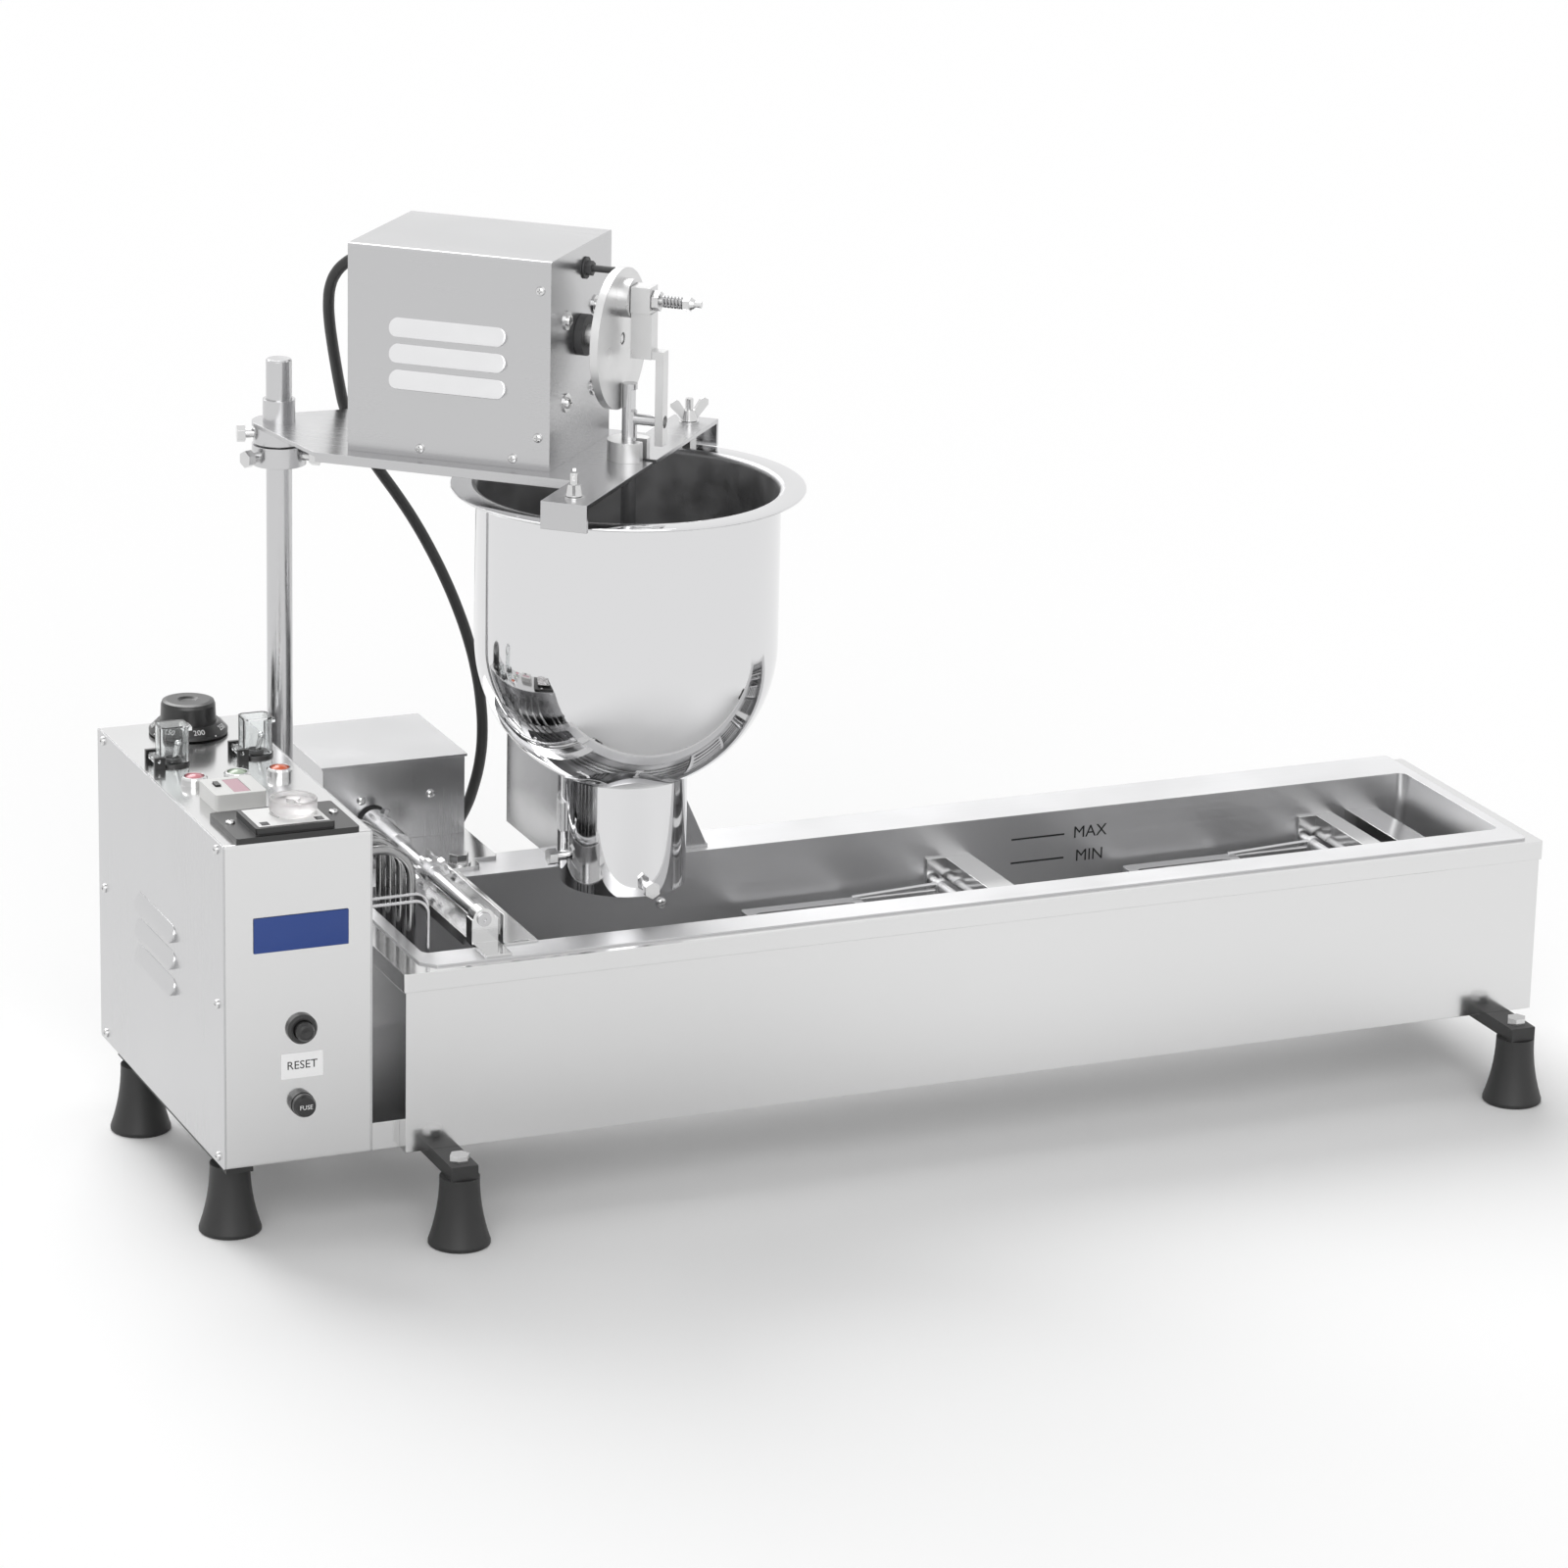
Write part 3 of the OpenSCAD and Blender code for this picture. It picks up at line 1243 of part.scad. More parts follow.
// Plunger rod with its cross pin, piston and cutter disc
module plunger() {
    color("silver") on_arm() {
        difference() {
            translate([0, 0, cutter_z]) cylinder(r = rod_r, h = rod_top - cutter_z);
            box_at(2.8, 10, -10, 10, cross_pin_z + 6, rod_top - 4);
        }
        translate([0, 0, cutter_z]) rotate_extrude() polygon([[0, 0], [former_r - 3, 0],
            [former_r - 0.1, 2],
            [former_r - 0.1, cutter_h], [0, cutter_h + 1]]);
        translate([0, 0, piston_z]) cylinder(r = former_r - 0.1, h = piston_h);
        translate([0, 0, cross_pin_z]) rod_x(0, bar_a0 - move_gap, cross_pin_r);
    }
}

module guide_block() {
    color("silver") on_arm() difference() {
        translate([0, 0, arm_top]) cylinder(r = guide_r, h = guide_h);
        cylinder(r = rod_r + run_fit, h = 1000);
        box_at(guide_flat, guide_r + 1, -guide_r, guide_r, arm_top - 1, arm_top + guide_h + 1);
        box_at(0, guide_r + 1, -cross_pin_r - move_gap, cross_pin_r + move_gap, arm_top - 1,
            arm_top + guide_h + 1);
    }
}

// ---- Hopper ----

// Half section of the hopper's outer or inner surface, offset inwards by d
neck_top = bowl_z - sqrt(pow(bowl_r - hopper_t, 2) - pow(neck_r, 2));

// Straight wall of the bowl with its flange
module hopper() {
    color("silver") placed() translate([hopper_x, hopper_y, 0]) rotate_extrude($fn = 96) union() {
        translate([bowl_r - hopper_t, bowl_z]) square([hopper_t, hopper_top - bowl_z]);
        translate([bowl_r - hopper_t, hopper_top - 2]) square([bowl_flange + hopper_t, 2]);
    }
}

// Rounded bottom of the bowl, welded to the straight wall and the neck
module hopper_dome() {
    color("silver") placed() translate([hopper_x, hopper_y, 0]) rotate_extrude($fn = 96) intersection() {
        translate([0, bowl_z]) difference() {
            circle(r = bowl_r, $fn = 96);
            circle(r = bowl_r - hopper_t, $fn = 96);
        }
        translate([neck_r, bowl_z - bowl_r]) square([bowl_r, bowl_r]);
    }
}

module hopper_neck() {
    color("silver") placed() translate([hopper_x, hopper_y, 0]) difference() {
        translate([0, 0, neck_z]) tube(neck_r, neck_r - hopper_t, neck_top - neck_z);
        for (b = neck_bolts) rotate([0, 0, b[0]]) translate([0, 0, b[1]]) rod_x(neck_r - 5, neck_r + 5,
            3.6);
    }
}

// Forming cylinder held in the neck by a ring
module former() {
    ring_r = neck_r - hopper_t - 0.2;
    color("silver") placed() translate([hopper_x, hopper_y, 0]) {
        translate([0, 0, former_z]) tube(former_r + former_wall, former_r, former_top - former_z);
        difference() {
            translate([0, 0, former_ring_z]) tube(ring_r, former_r + former_wall - eps, former_ring_h);
            translate([0, 0, former_ring_z + 3]) tube(ring_r - 3, former_r + former_wall + 3,
                former_ring_h);
        }
    }
}

// Folded bracket behind the neck, with a half ring that carries the hopper
bracket_x0 = hopper_x - 19;
bracket_x1 = hopper_x + 84;
bracket_y0 = pan_y1 + 7;
bracket_y1 = bracket_y0 + 108;
module hopper_bracket() {
    t = 2.5;
    z0 = pan_top;
    z1 = bowl_z - 72;
    ring_h = 22;
    color("silver") placed() {
        box_at(bracket_x0, bracket_x1, bracket_y0, bracket_y0 + t, z0, z1);
        box_at(bracket_x0, bracket_x0 + t, bracket_y0, bracket_y1, z0, z1);
        box_at(bracket_x0, bracket_x1 + 18, bracket_y0, bracket_y0 + 34, z0, z0 + t);
        translate([0, bracket_y0, 0]) rotate([90, 0, 0]) translate([0, 0, -t]) linear_extrude(t)
            polygon([[bracket_x1 - eps, z0], [bracket_x1 + 18, z0], [bracket_x1 - eps, z0 + 40]]);
        translate([hopper_x, hopper_y, neck_z + 40]) difference() {
            tube(neck_r + 3, neck_r + 0.15, ring_h);
            translate([-100, -200, -1]) cube([200, 200, ring_h + 2]);
        }
        for (dx = [-14, 14]) box_at(hopper_x + dx - 1.5, hopper_x + dx + 1.5, hopper_y + neck_r - 1,
            bracket_y0 + eps, neck_z + 40, neck_z + 40 + ring_h);
    }
}

// ---- Motor cable ----

function unit(v) = v / norm(v);
function ring_dir(path, i) =
    unit(path[min(i + 1, len(path) - 1)] - path[max(i - 1, 0)]);
// Side vector of a ring, square to the path and level with the floor
function ring_side(d) = unit(cross(d, [0.31, 0.95, 0.02]));
function ring_points(path, i, r, n) =
    let (d = ring_dir(path, i), s = ring_side(d), w = cross(d, s))
    [for (k = [0:n - 1]) path[i] + r * (cos(360 * k / n) * s + sin(360 * k / n) * w)];

module swept_tube(path, r, n) {
    m = len(path);
    points = [for (i = [0:m - 1]) each ring_points(path, i, r, n)];
    sides = [for (i = [0:m - 2]) for (k = [0:n - 1])
        [i * n + k, i * n + (k + 1) % n, (i + 1) * n + (k + 1) % n, (i + 1) * n + k]];
    polyhedron(points = points, faces = concat([[for (k = [0:n - 1]) n - 1 - k]], sides,
        [[for (k = [0:n - 1]) (m - 1) * n + k]]));
}

// Glands that hold the cable's ends, on the motor cover and on the control box's back
module cable_glands() {
    color("#303030") {
        on_arm() translate([motor_a0, motor_gland_b, arm_top + motor_h - 26]) rotate([0, -90, 0])
            tube(cable_d / 2 + 3.5, cable_d / 2 + 0.4, 9);
        placed() translate([cable_entry_pos[0], box_d, cable_entry_pos[1]]) rotate([-90, 0, 0])
            tube(cable_d / 2 + 3.5, cable_d / 2 + 0.4, 9);
        placed() translate([gland_pos[0], box_d, gland_pos[1]]) rotate([-90, 0, 0]) difference() {
            union() {
                cylinder(d = 22, h = 5, $fn = 6);
                cylinder(r = 8.5, h = 14);
                translate([0, 0, -8]) cylinder(r = 8, h = 8 + eps);
            }
            translate([0, 0, -20]) cylinder(r = 4.2, h = 50);
        }
    }
}

module cable() {
    color("#303030") placed() swept_tube(cable_route, cable_d / 2, 10);
}

control_housing();
side_covers();
case_screws();
control_gear();
thermostat_body();
thermostat_knob();
timer_body();
timer_dial();
counter_body();
counter_button();
lamp_bezels();
lamp_lenses();
switch_bodies();
switch_lever_left();
switch_lever_right();
switch_cover_left();
switch_cover_right();
panel_bezels();
reset_button();
fuse_cap();
link_channel();
tank_housing();
oil_pan();
support_bars();
feet();
hex_bolts();
heater_tubes();
capillary_tubes();
cross_bars();
output_chute();
flipper_1();
flipper_2();
flipper_link();
drive_bridge();
splash_baffle();
drive_shaft();
star_wheel();
rear_mount_plate();
gearmotor();
drive_cover();
post();
arm_hub();
arm_plate();
motor_cover();
crank_motor();
crank_disc();
crank_link();
link_spring();
plunger();
guide_block();
flange_studs();
wing_nut_front();
wing_nut_rear();
hopper();
hopper_dome();
hopper_neck();
former();
hopper_bracket();
cable_glands();
cable();
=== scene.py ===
"""Looks of a benchtop doughnut machine: its finishes, hopper, cable, lamps, scales and lettering."""

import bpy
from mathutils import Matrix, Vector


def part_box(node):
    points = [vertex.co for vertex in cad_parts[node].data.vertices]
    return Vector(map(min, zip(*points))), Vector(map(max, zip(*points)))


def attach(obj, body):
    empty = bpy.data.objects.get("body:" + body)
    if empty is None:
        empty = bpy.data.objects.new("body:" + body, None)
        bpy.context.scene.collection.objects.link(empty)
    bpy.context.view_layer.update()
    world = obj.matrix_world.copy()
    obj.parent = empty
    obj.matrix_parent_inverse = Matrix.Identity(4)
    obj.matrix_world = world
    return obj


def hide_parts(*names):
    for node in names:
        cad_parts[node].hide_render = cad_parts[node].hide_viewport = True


bl_info = {
    "name": "Doughnut Machine",
    "version": (1, 0, 0),
    "blender": (4, 5, 0),
    "location": "View3D > Sidebar > Doughnut",
    "description": "Finishes and fine pieces of a benchtop doughnut machine",
    "category": "Object",
}

import math

import bmesh
import bpy
from bpy.props import FloatProperty, FloatVectorProperty, IntProperty, PointerProperty
from mathutils import Matrix, Vector

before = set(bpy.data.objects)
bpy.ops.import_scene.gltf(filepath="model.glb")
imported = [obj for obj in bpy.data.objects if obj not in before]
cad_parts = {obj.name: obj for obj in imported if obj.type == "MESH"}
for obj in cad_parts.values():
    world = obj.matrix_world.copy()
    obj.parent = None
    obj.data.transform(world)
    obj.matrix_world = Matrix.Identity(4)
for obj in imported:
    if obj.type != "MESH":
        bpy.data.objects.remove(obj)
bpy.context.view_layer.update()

MM = 0.001
BODY = "frame"
# Where the corner of the control box, which sizes are taken from, lies from the machine's middle
CORNER = Vector((-522.25, -156.5, 0.0))
HOPPER_AXIS = Vector((338.0, 98.0, 0.0))
POST_AXIS = Vector((135.5, 281.0, 0.0))
BOX_TOP = 302.0
PAN_BACK = 175.0
# Millimetres left between a face and what is laid on it
LAID_GAP = 0.02


def place(x, y, z):
    """A point of the machine in metres, from millimetres off the control box's corner."""
    return (Vector((x, y, z)) + CORNER) * MM


def srgb(text):
    """Linear colour of an sRGB hex value."""
    parts = [int(text[i : i + 2], 16) / 255 for i in (1, 3, 5)]
    return [c / 12.92 if c <= 0.04045 else ((c + 0.055) / 1.055) ** 2.4 for c in parts] + [1.0]


def add_node(tree, kind, values=(), links=(), **settings):
    """A node with its settings, the values of its sockets and what is linked into them."""
    node = tree.nodes.new(kind)
    for name, value in settings.items():
        setattr(node, name, value)
    for socket, value in dict(values).items():
        node.inputs[socket].default_value = value
    for socket, source in dict(links).items():
        tree.links.new(source, node.inputs[socket])
    return node


def new_material(name, **values):
    """A material with a Principled surface, its node tree and that surface node."""
    material = bpy.data.materials.new(name)
    material.use_nodes = True
    tree = material.node_tree
    tree.nodes.clear()
    surface = add_node(tree, "ShaderNodeBsdfPrincipled")
    for socket, value in values.items():
        surface.inputs[socket.replace("_", " ")].default_value = value
    add_node(tree, "ShaderNodeOutputMaterial", links={"Surface": surface.outputs[0]})
    return material, tree, surface


def grain_coordinates(tree, stretch, turn=0.0):
    """Object coordinates stretched along the direction in which a surface was brushed."""
    spot = add_node(tree, "ShaderNodeTexCoord").outputs["Object"]
    turned = add_node(
        tree, "ShaderNodeMapping", {"Rotation": (0, 0, turn)}, {"Vector": spot}
    ).outputs["Vector"]
    return add_node(
        tree, "ShaderNodeMapping", {"Scale": stretch}, {"Vector": turned}
    ).outputs["Vector"]


def noise(tree, scale, detail=2.0):
    """A pattern of soft spots, alike in every direction."""
    return add_node(
        tree, "ShaderNodeTexNoise", {"Scale": scale, "Detail": detail},
        {"Vector": grain_coordinates(tree, (1, 1, 1))},
    ).outputs["Fac"]


def uneven_gloss(tree, surface, pattern, span, roughness, shares):
    """Lets the roughness wander between two shares of its value while the pattern crosses its span."""
    low, high = shares
    rough = add_node(
        tree,
        "ShaderNodeMapRange",
        {
            "From Min": span[0],
            "From Max": span[1],
            "To Min": roughness * low,
            "To Max": roughness * high,
        },
        {"Value": pattern},
    ).outputs["Result"]
    tree.links.new(rough, surface.inputs["Roughness"])


def soft_edge(tree, radius):
    """Normals that run round each corner, as on an edge broken with a file."""
    return add_node(tree, "ShaderNodeBevel", {"Radius": radius}, samples=4).outputs["Normal"]


def raise_grain(tree, surface, pattern, strength, distance, edge):
    """Lets the pattern stand up from the surface, over softened edges."""
    bump = add_node(
        tree, "ShaderNodeBump", {"Strength": strength, "Distance": distance},
        {"Height": pattern, "Normal": soft_edge(tree, edge)},
    )
    tree.links.new(bump.outputs["Normal"], surface.inputs["Normal"])


def brushed_metal(name, colour, roughness, stretch, turn=0.0, depth=0.035, edge=0.0006):
    """Sheet with the fine lines of a grinding belt: they blur reflections across the lines."""
    material, tree, surface = new_material(name, Base_Color=srgb(colour), Metallic=1.0)
    lines = add_node(
        tree, "ShaderNodeTexNoise", {"Scale": 1.0, "Detail": 3.0, "Roughness": 0.6},
        {"Vector": grain_coordinates(tree, stretch, turn)},
    ).outputs["Fac"]
    haze = noise(tree, 9.0)
    mixed = add_node(
        tree, "ShaderNodeMath", operation="ADD", links={0: lines, 1: haze}
    ).outputs[0]
    uneven_gloss(tree, surface, mixed, (0.7, 1.3), roughness, (0.8, 1.2))
    raise_grain(tree, surface, lines, depth, 0.0002, edge)
    return material


def plain_metal(name, colour, roughness, edge=0.0004):
    """Turned, plated or polished metal: even, with faint cloudiness in its gloss."""
    material, tree, surface = new_material(name, Base_Color=srgb(colour), Metallic=1.0)
    cloud = noise(tree, 60.0)
    uneven_gloss(tree, surface, cloud, (0.3, 0.7), roughness, (0.8, 1.2))
    if edge:
        tree.links.new(soft_edge(tree, edge), surface.inputs["Normal"])
    return material


def moulded(name, colour, roughness, grain_mm=0.6, depth=0.15, ior=1.5):
    """Moulded plastic or rubber: a fine even grain from the mould breaks its highlights up."""
    material, tree, surface = new_material(
        name, Base_Color=srgb(colour), Roughness=roughness, IOR=ior
    )
    grain = noise(tree, 1000.0 / grain_mm)
    raise_grain(tree, surface, grain, depth, 0.0001, 0.0005)
    return material


def clear_plastic(name, colour, roughness):
    """Acrylic: light bends through its walls, its edges gleam, and handling has rubbed it a little."""
    material, tree, surface = new_material(
        name, Base_Color=srgb(colour), IOR=1.49, Transmission_Weight=1.0
    )
    rubs = noise(tree, 250.0, 3.0)
    uneven_gloss(tree, surface, rubs, (0.4, 0.7), roughness, (1.0, 1.6))
    return material


def ink(name, colour, roughness=0.5):
    """Screen-printing ink or label film: matt, a little uneven in gloss where it was laid on."""
    material, tree, surface = new_material(name, Base_Color=srgb(colour))
    laid = noise(tree, 700.0)
    uneven_gloss(tree, surface, laid, (0.3, 0.7), roughness, (0.85, 1.15))
    return material


FINISHES = {
    # Belt-ground stainless sheet, lines along the tank: a soft upright smear of the floor in front
    "satin_long": lambda: brushed_metal(
        "satin_stainless_along_tank", "#dedede", 0.15, (3, 1600, 1600), depth=0.045
    ),
    # The same sheet with its lines running up the sides, with streaks that stand upright; its greyer
    # colour is painted shade on the upright sides
    "satin_up_painted_shade": lambda: brushed_metal(
        "satin_stainless_upright_painted_shade", "#c6c6c7", 0.24, (1600, 1600, 4), depth=0.05
    ),
    # Sheet of the motor cover and arm, turned as the arm is; its even mid grey, darker than the tank's
    # sheet, is painted shade
    "satin_arm_painted_shade": lambda: brushed_metal(
        "satin_stainless_arm_painted_shade", "#c2c2c3", 0.24, (4, 1600, 1600), 0.735
    ),
    # Pressed stainless louvres, paler than the cover: the paler colour is a painted highlight standing
    # in for the white they reflect
    "louvre": lambda: plain_metal("pressed_stainless_louvre_painted_highlight", "#e6e6e7", 0.20),
    # Inside of the pan, dulled by hot oil: broad dim patches, no clear image
    "pan": lambda: brushed_metal(
        "pan_stainless_dulled", "#cececf", 0.36, (4, 1200, 1200), depth=0.08
    ),
    # Inside of the bowl, left as it was spun: satin, so it goes dark grey in its own shade
    "bowl_inside": lambda: plain_metal("spun_satin_bowl_inside", "#b4b4b5", 0.42, edge=0.0),
    # Mirror-polished stainless: a clear image with hard dark bands
    "mirror": lambda: plain_metal("mirror_polished_stainless", "#dcdcdd", 0.045, edge=0.0),
    # Turned steel, finely ridged: bright, with a slightly soft image
    "turned": lambda: plain_metal("turned_steel", "#c9c9ca", 0.22),
    # Heater tube, annealed by its own heat: a greyer sheen than the sheet's
    "tube": lambda: plain_metal("annealed_heater_tube", "#9d9d9d", 0.24),
    # Milled aluminium: pale and a little chalky
    "aluminium": lambda: plain_metal("milled_aluminium", "#d6d6d6", 0.34),
    # Bright zinc plate on screws and nuts: small hard glints
    "zinc": lambda: plain_metal("bright_zinc_plate", "#d4d4d4", 0.16),
    # Drawn spring wire: a thin bright line on each turn
    "spring": lambda: plain_metal("bright_spring_wire", "#bdbdbe", 0.22, edge=0.0),
    # Powder-coated steel: orange peel that breaks the light up
    "black_bar": lambda: moulded("black_powder_coat", "#2b2b2b", 0.45, 1.2, 0.25),
    # Moulded rubber feet: matt, with a broad pale sheen
    "rubber": lambda: moulded("moulded_black_rubber", "#262626", 0.50, 0.8, 0.25, 1.52),
    # Moulded phenolic knobs and caps: black with a tight highlight
    "black": lambda: moulded("moulded_black_phenolic", "#1e1e1e", 0.30, 0.5, 0.08, 1.6),
    # Moulded ABS case: pale grey and faintly grained
    "grey": lambda: moulded("moulded_light_grey_abs", "#d8d8d6", 0.40, 0.6, 0.10, 1.54),
    # Extruded cable sheath: satin black, the same all round
    "sheath": lambda: moulded("black_cable_sheath", "#2c2c2c", 0.42, 1.0, 0.20),
    # Moulded clear acrylic covers: glassy, with bright edges and a few faint rubs
    "clear": lambda: clear_plastic("clear_acrylic", "#f2f4f4", 0.03),
    # Frosted acrylic dial: milky, the scale below it only just shows
    "frosted": lambda: clear_plastic("frosted_acrylic", "#f6f4f4", 0.34),
    # Painted gear case, rough cast below the paint: dull dark grey
    "cast": lambda: moulded("painted_gear_case", "#4a4a4b", 0.5, 1.5, 0.3),
    # Screen-printing inks: flat, with a gloss that wanders
    "ink_black": lambda: ink("black_printing_ink", "#1c1c1c"),
    "ink_white": lambda: ink("white_printing_ink", "#f0f0f0"),
    # Label film: whiter and a little shinier than the ink
    "label": lambda: ink("white_label_film", "#f3f3f3", 0.35),
    # Printed dial plate: off-white
    "dial_face": lambda: ink("white_dial_print", "#e9e9e8", 0.4),
    # Smoked acrylic windows: nearly black, with a clear highlight
    "window": lambda: moulded("smoked_display_window", "#26262a", 0.15, 0.5, 0.02, 1.49),
    # Tinted acrylic over the counter's figures: dusty pink
    "display": lambda: moulded("pink_display_window", "#c49aa5", 0.2, 0.5, 0.02, 1.49),
    # Enamelled name plate, left blank: deep blue with a soft gloss
    "plate_blue": lambda: moulded("dark_blue_name_plate", "#1f3f86", 0.28, 0.5, 0.02),
    # Moulded polycarbonate lamp lenses: deep colour under one tight highlight
    "lens_red": lambda: moulded("rose_lamp_lens", "#d98a93", 0.12, 0.5, 0.02, 1.58),
    "lens_green": lambda: moulded("pale_green_lamp_lens", "#b9c9b4", 0.12, 0.5, 0.02, 1.58),
    "lens_orange": lambda: moulded("orange_lamp_lens", "#e0683c", 0.12, 0.5, 0.02, 1.58),
}
made_finishes = {}


def finish_of(name):
    """The material of that finish, made the first time it is asked for."""
    if name not in made_finishes:
        made_finishes[name] = FINISHES[name]()
    return made_finishes[name]


NODE_FINISHES = {
    "satin_long": ["tank_housing", "control_housing", "link_channel", "drive_bridge", "splash_baffle",
                   "rear_mount_plate", "output_chute", "cross_bars"],
    # The upright covers take the greyer sheet, whose colour is painted shade
    "satin_up_painted_shade": ["side_covers", "drive_cover", "hopper_bracket"],
    # The arm and motor cover take the darker sheet, whose colour is painted shade
    "satin_arm_painted_shade": ["arm_plate", "motor_cover"],
    "pan": ["oil_pan", "flipper_1", "flipper_2", "flipper_link"],
    "mirror": ["former"],
    "turned": ["post", "arm_hub", "drive_shaft", "star_wheel", "plunger", "thermostat_body",
               "capillary_tubes"],
    "tube": ["heater_tubes"],
    "aluminium": ["crank_disc", "crank_link", "guide_block"],
    "zinc": ["case_screws", "hex_bolts", "flange_studs", "wing_nut_front", "wing_nut_rear",
             "lamp_bezels", "switch_lever_left", "switch_lever_right"],
    "spring": ["link_spring"],
    "black_bar": ["support_bars"],
    "rubber": ["feet"],
    "black": ["thermostat_knob", "timer_body", "panel_bezels", "reset_button", "fuse_cap",
              "switch_bodies", "counter_button", "cable_glands"],
    "grey": ["counter_body"],
    "clear": ["switch_cover_left", "switch_cover_right"],
    "frosted": ["timer_dial"],
    "cast": ["gearmotor", "crank_motor", "control_gear"],
}


def put_piece(name, bm, finish, body=BODY, replaces=(), smooth=40.0):
    """Makes a finished bmesh a piece of the machine that moves with a body."""
    mesh = bpy.data.meshes.new(name)
    bm.to_mesh(mesh)
    bm.free()
    piece = bpy.data.objects.new(name, mesh)
    bpy.context.scene.collection.objects.link(piece)
    mesh.materials.append(finish_of(finish))
    if smooth:
        mesh.shade_smooth()
        mesh.set_sharp_from_angle(angle=math.radians(smooth))
    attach(piece, body)
    if replaces:
        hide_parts(*replaces)
    return piece


def lathe(bm, profile, centre, steps=96):
    """Turns a profile of (radius, height) points in millimetres about an upright axis."""
    verts = [bm.verts.new(place(centre.x + r, centre.y, z)) for r, z in profile]
    for a, b in zip(verts, verts[1:], strict=False):
        bm.edges.new((a, b))
    bmesh.ops.spin(
        bm,
        geom=bm.verts[:] + bm.edges[:],
        cent=place(centre.x, centre.y, 0),
        axis=(0, 0, 1),
        angle=math.tau,
        steps=steps,
        use_merge=True,
    )
    bmesh.ops.remove_doubles(bm, verts=bm.verts, dist=1e-6)
    bmesh.ops.recalc_face_normals(bm, faces=bm.faces)


def arc(centre_r, centre_z, radius, start, end, count):
    """Points of an arc in a profile, angles in degrees from straight out."""
    return [
        (
            centre_r + radius * math.cos(math.radians(start + (end - start) * i / count)),
            centre_z + radius * math.sin(math.radians(start + (end - start) * i / count)),
        )
        for i in range(count + 1)
    ]


def slab(bm, x0, x1, y0, y1, z0, z1, edge=0.0, segments=2):
    """A box between millimetre limits, with its edges rounded if an edge radius is given."""
    made = bmesh.ops.create_cube(bm, size=1.0)["verts"]
    low, high = place(x0, y0, z0), place(x1, y1, z1)
    bmesh.ops.scale(bm, vec=high - low, verts=made)
    bmesh.ops.translate(bm, vec=(low + high) / 2, verts=made)
    if edge:
        edges = list({e for v in made for e in v.link_edges})
        bmesh.ops.bevel(
            bm, geom=edges, offset=edge * MM, offset_type="OFFSET", affect="EDGES",
            segments=segments, profile=0.5, material=-1,
        )


# Height of the font's capitals as a share of its size, and the thickness of printed ink
CAPITAL_SHARE = 0.7
INK_THICK = 0.12


def lettering(bm, text, height, where, right, up):
    """Sets a line of text into the bmesh, with its middle at where, in millimetres."""
    curve = bpy.data.curves.new("line", "FONT")
    curve.body = text
    curve.size = height / CAPITAL_SHARE
    curve.align_x = "CENTER"
    curve.align_y = "CENTER"
    curve.extrude = INK_THICK / 2
    curve.resolution_u = 3
    holder = bpy.data.objects.new("line", curve)
    bpy.context.scene.collection.objects.link(holder)
    bpy.context.view_layer.update()
    mesh = bpy.data.meshes.new_from_object(holder)
    right, up = Vector(right).normalized(), Vector(up).normalized()
    out = right.cross(up)
    turn = Matrix((right, up, out)).transposed().to_4x4()
    mesh.transform(Matrix.Translation(place(*where)) @ turn @ Matrix.Scale(MM, 4))
    bm.from_mesh(mesh)
    bpy.data.objects.remove(holder)
    bpy.data.meshes.remove(mesh)
    bpy.data.curves.remove(curve)


class HopperSettings(bpy.types.PropertyGroup):
    """Sizes of the hopper"""

    bowl_radius: FloatProperty(
        name="Bowl radius", description="Outer radius of the bowl", default=0.110, unit="LENGTH"
    )
    flange_width: FloatProperty(
        name="Flange width", description="Width of the top flange", default=0.018, unit="LENGTH"
    )
    wall: FloatProperty(
        name="Wall", description="Thickness of the spun sheet", default=0.0015, unit="LENGTH"
    )
    neck_radius: FloatProperty(
        name="Neck radius", description="Outer radius of the neck", default=0.046, unit="LENGTH"
    )


class PanelSettings(bpy.types.PropertyGroup):
    """Lettering and name plate of the control box"""

    letter_height: FloatProperty(
        name="Letter height", description="Height of the capitals of RESET", default=0.006,
        unit="LENGTH",
    )
    knob_numbers: IntProperty(
        name="Knob numbers", description="Numbers round the knob", default=6, min=2, max=12
    )
    plate_colour: FloatVectorProperty(
        name="Name plate", description="Colour of the blank name plate", subtype="COLOR",
        default=srgb("#1f3f86")[:3], min=0.0, max=1.0,
    )


class StageSettings(bpy.types.PropertyGroup):
    """Camera and floor"""

    lens: FloatProperty(
        name="Lens", description="Focal length on a 36 mm sensor", default=136.94, unit="CAMERA"
    )
    floor_colour: FloatVectorProperty(
        name="Floor", description="Colour of the floor", subtype="COLOR",
        default=(0.97, 0.97, 0.97), min=0.0, max=1.0,
    )


# Where the camera stands, its turn, tilt and roll in degrees, and its sensor
CAMERA_SPOT = (-1205.6, -3752.6, 1597.6)
CAMERA_ANGLES = (-23.455, 17.546, 1.337)
SENSOR_WIDTH = 36.0


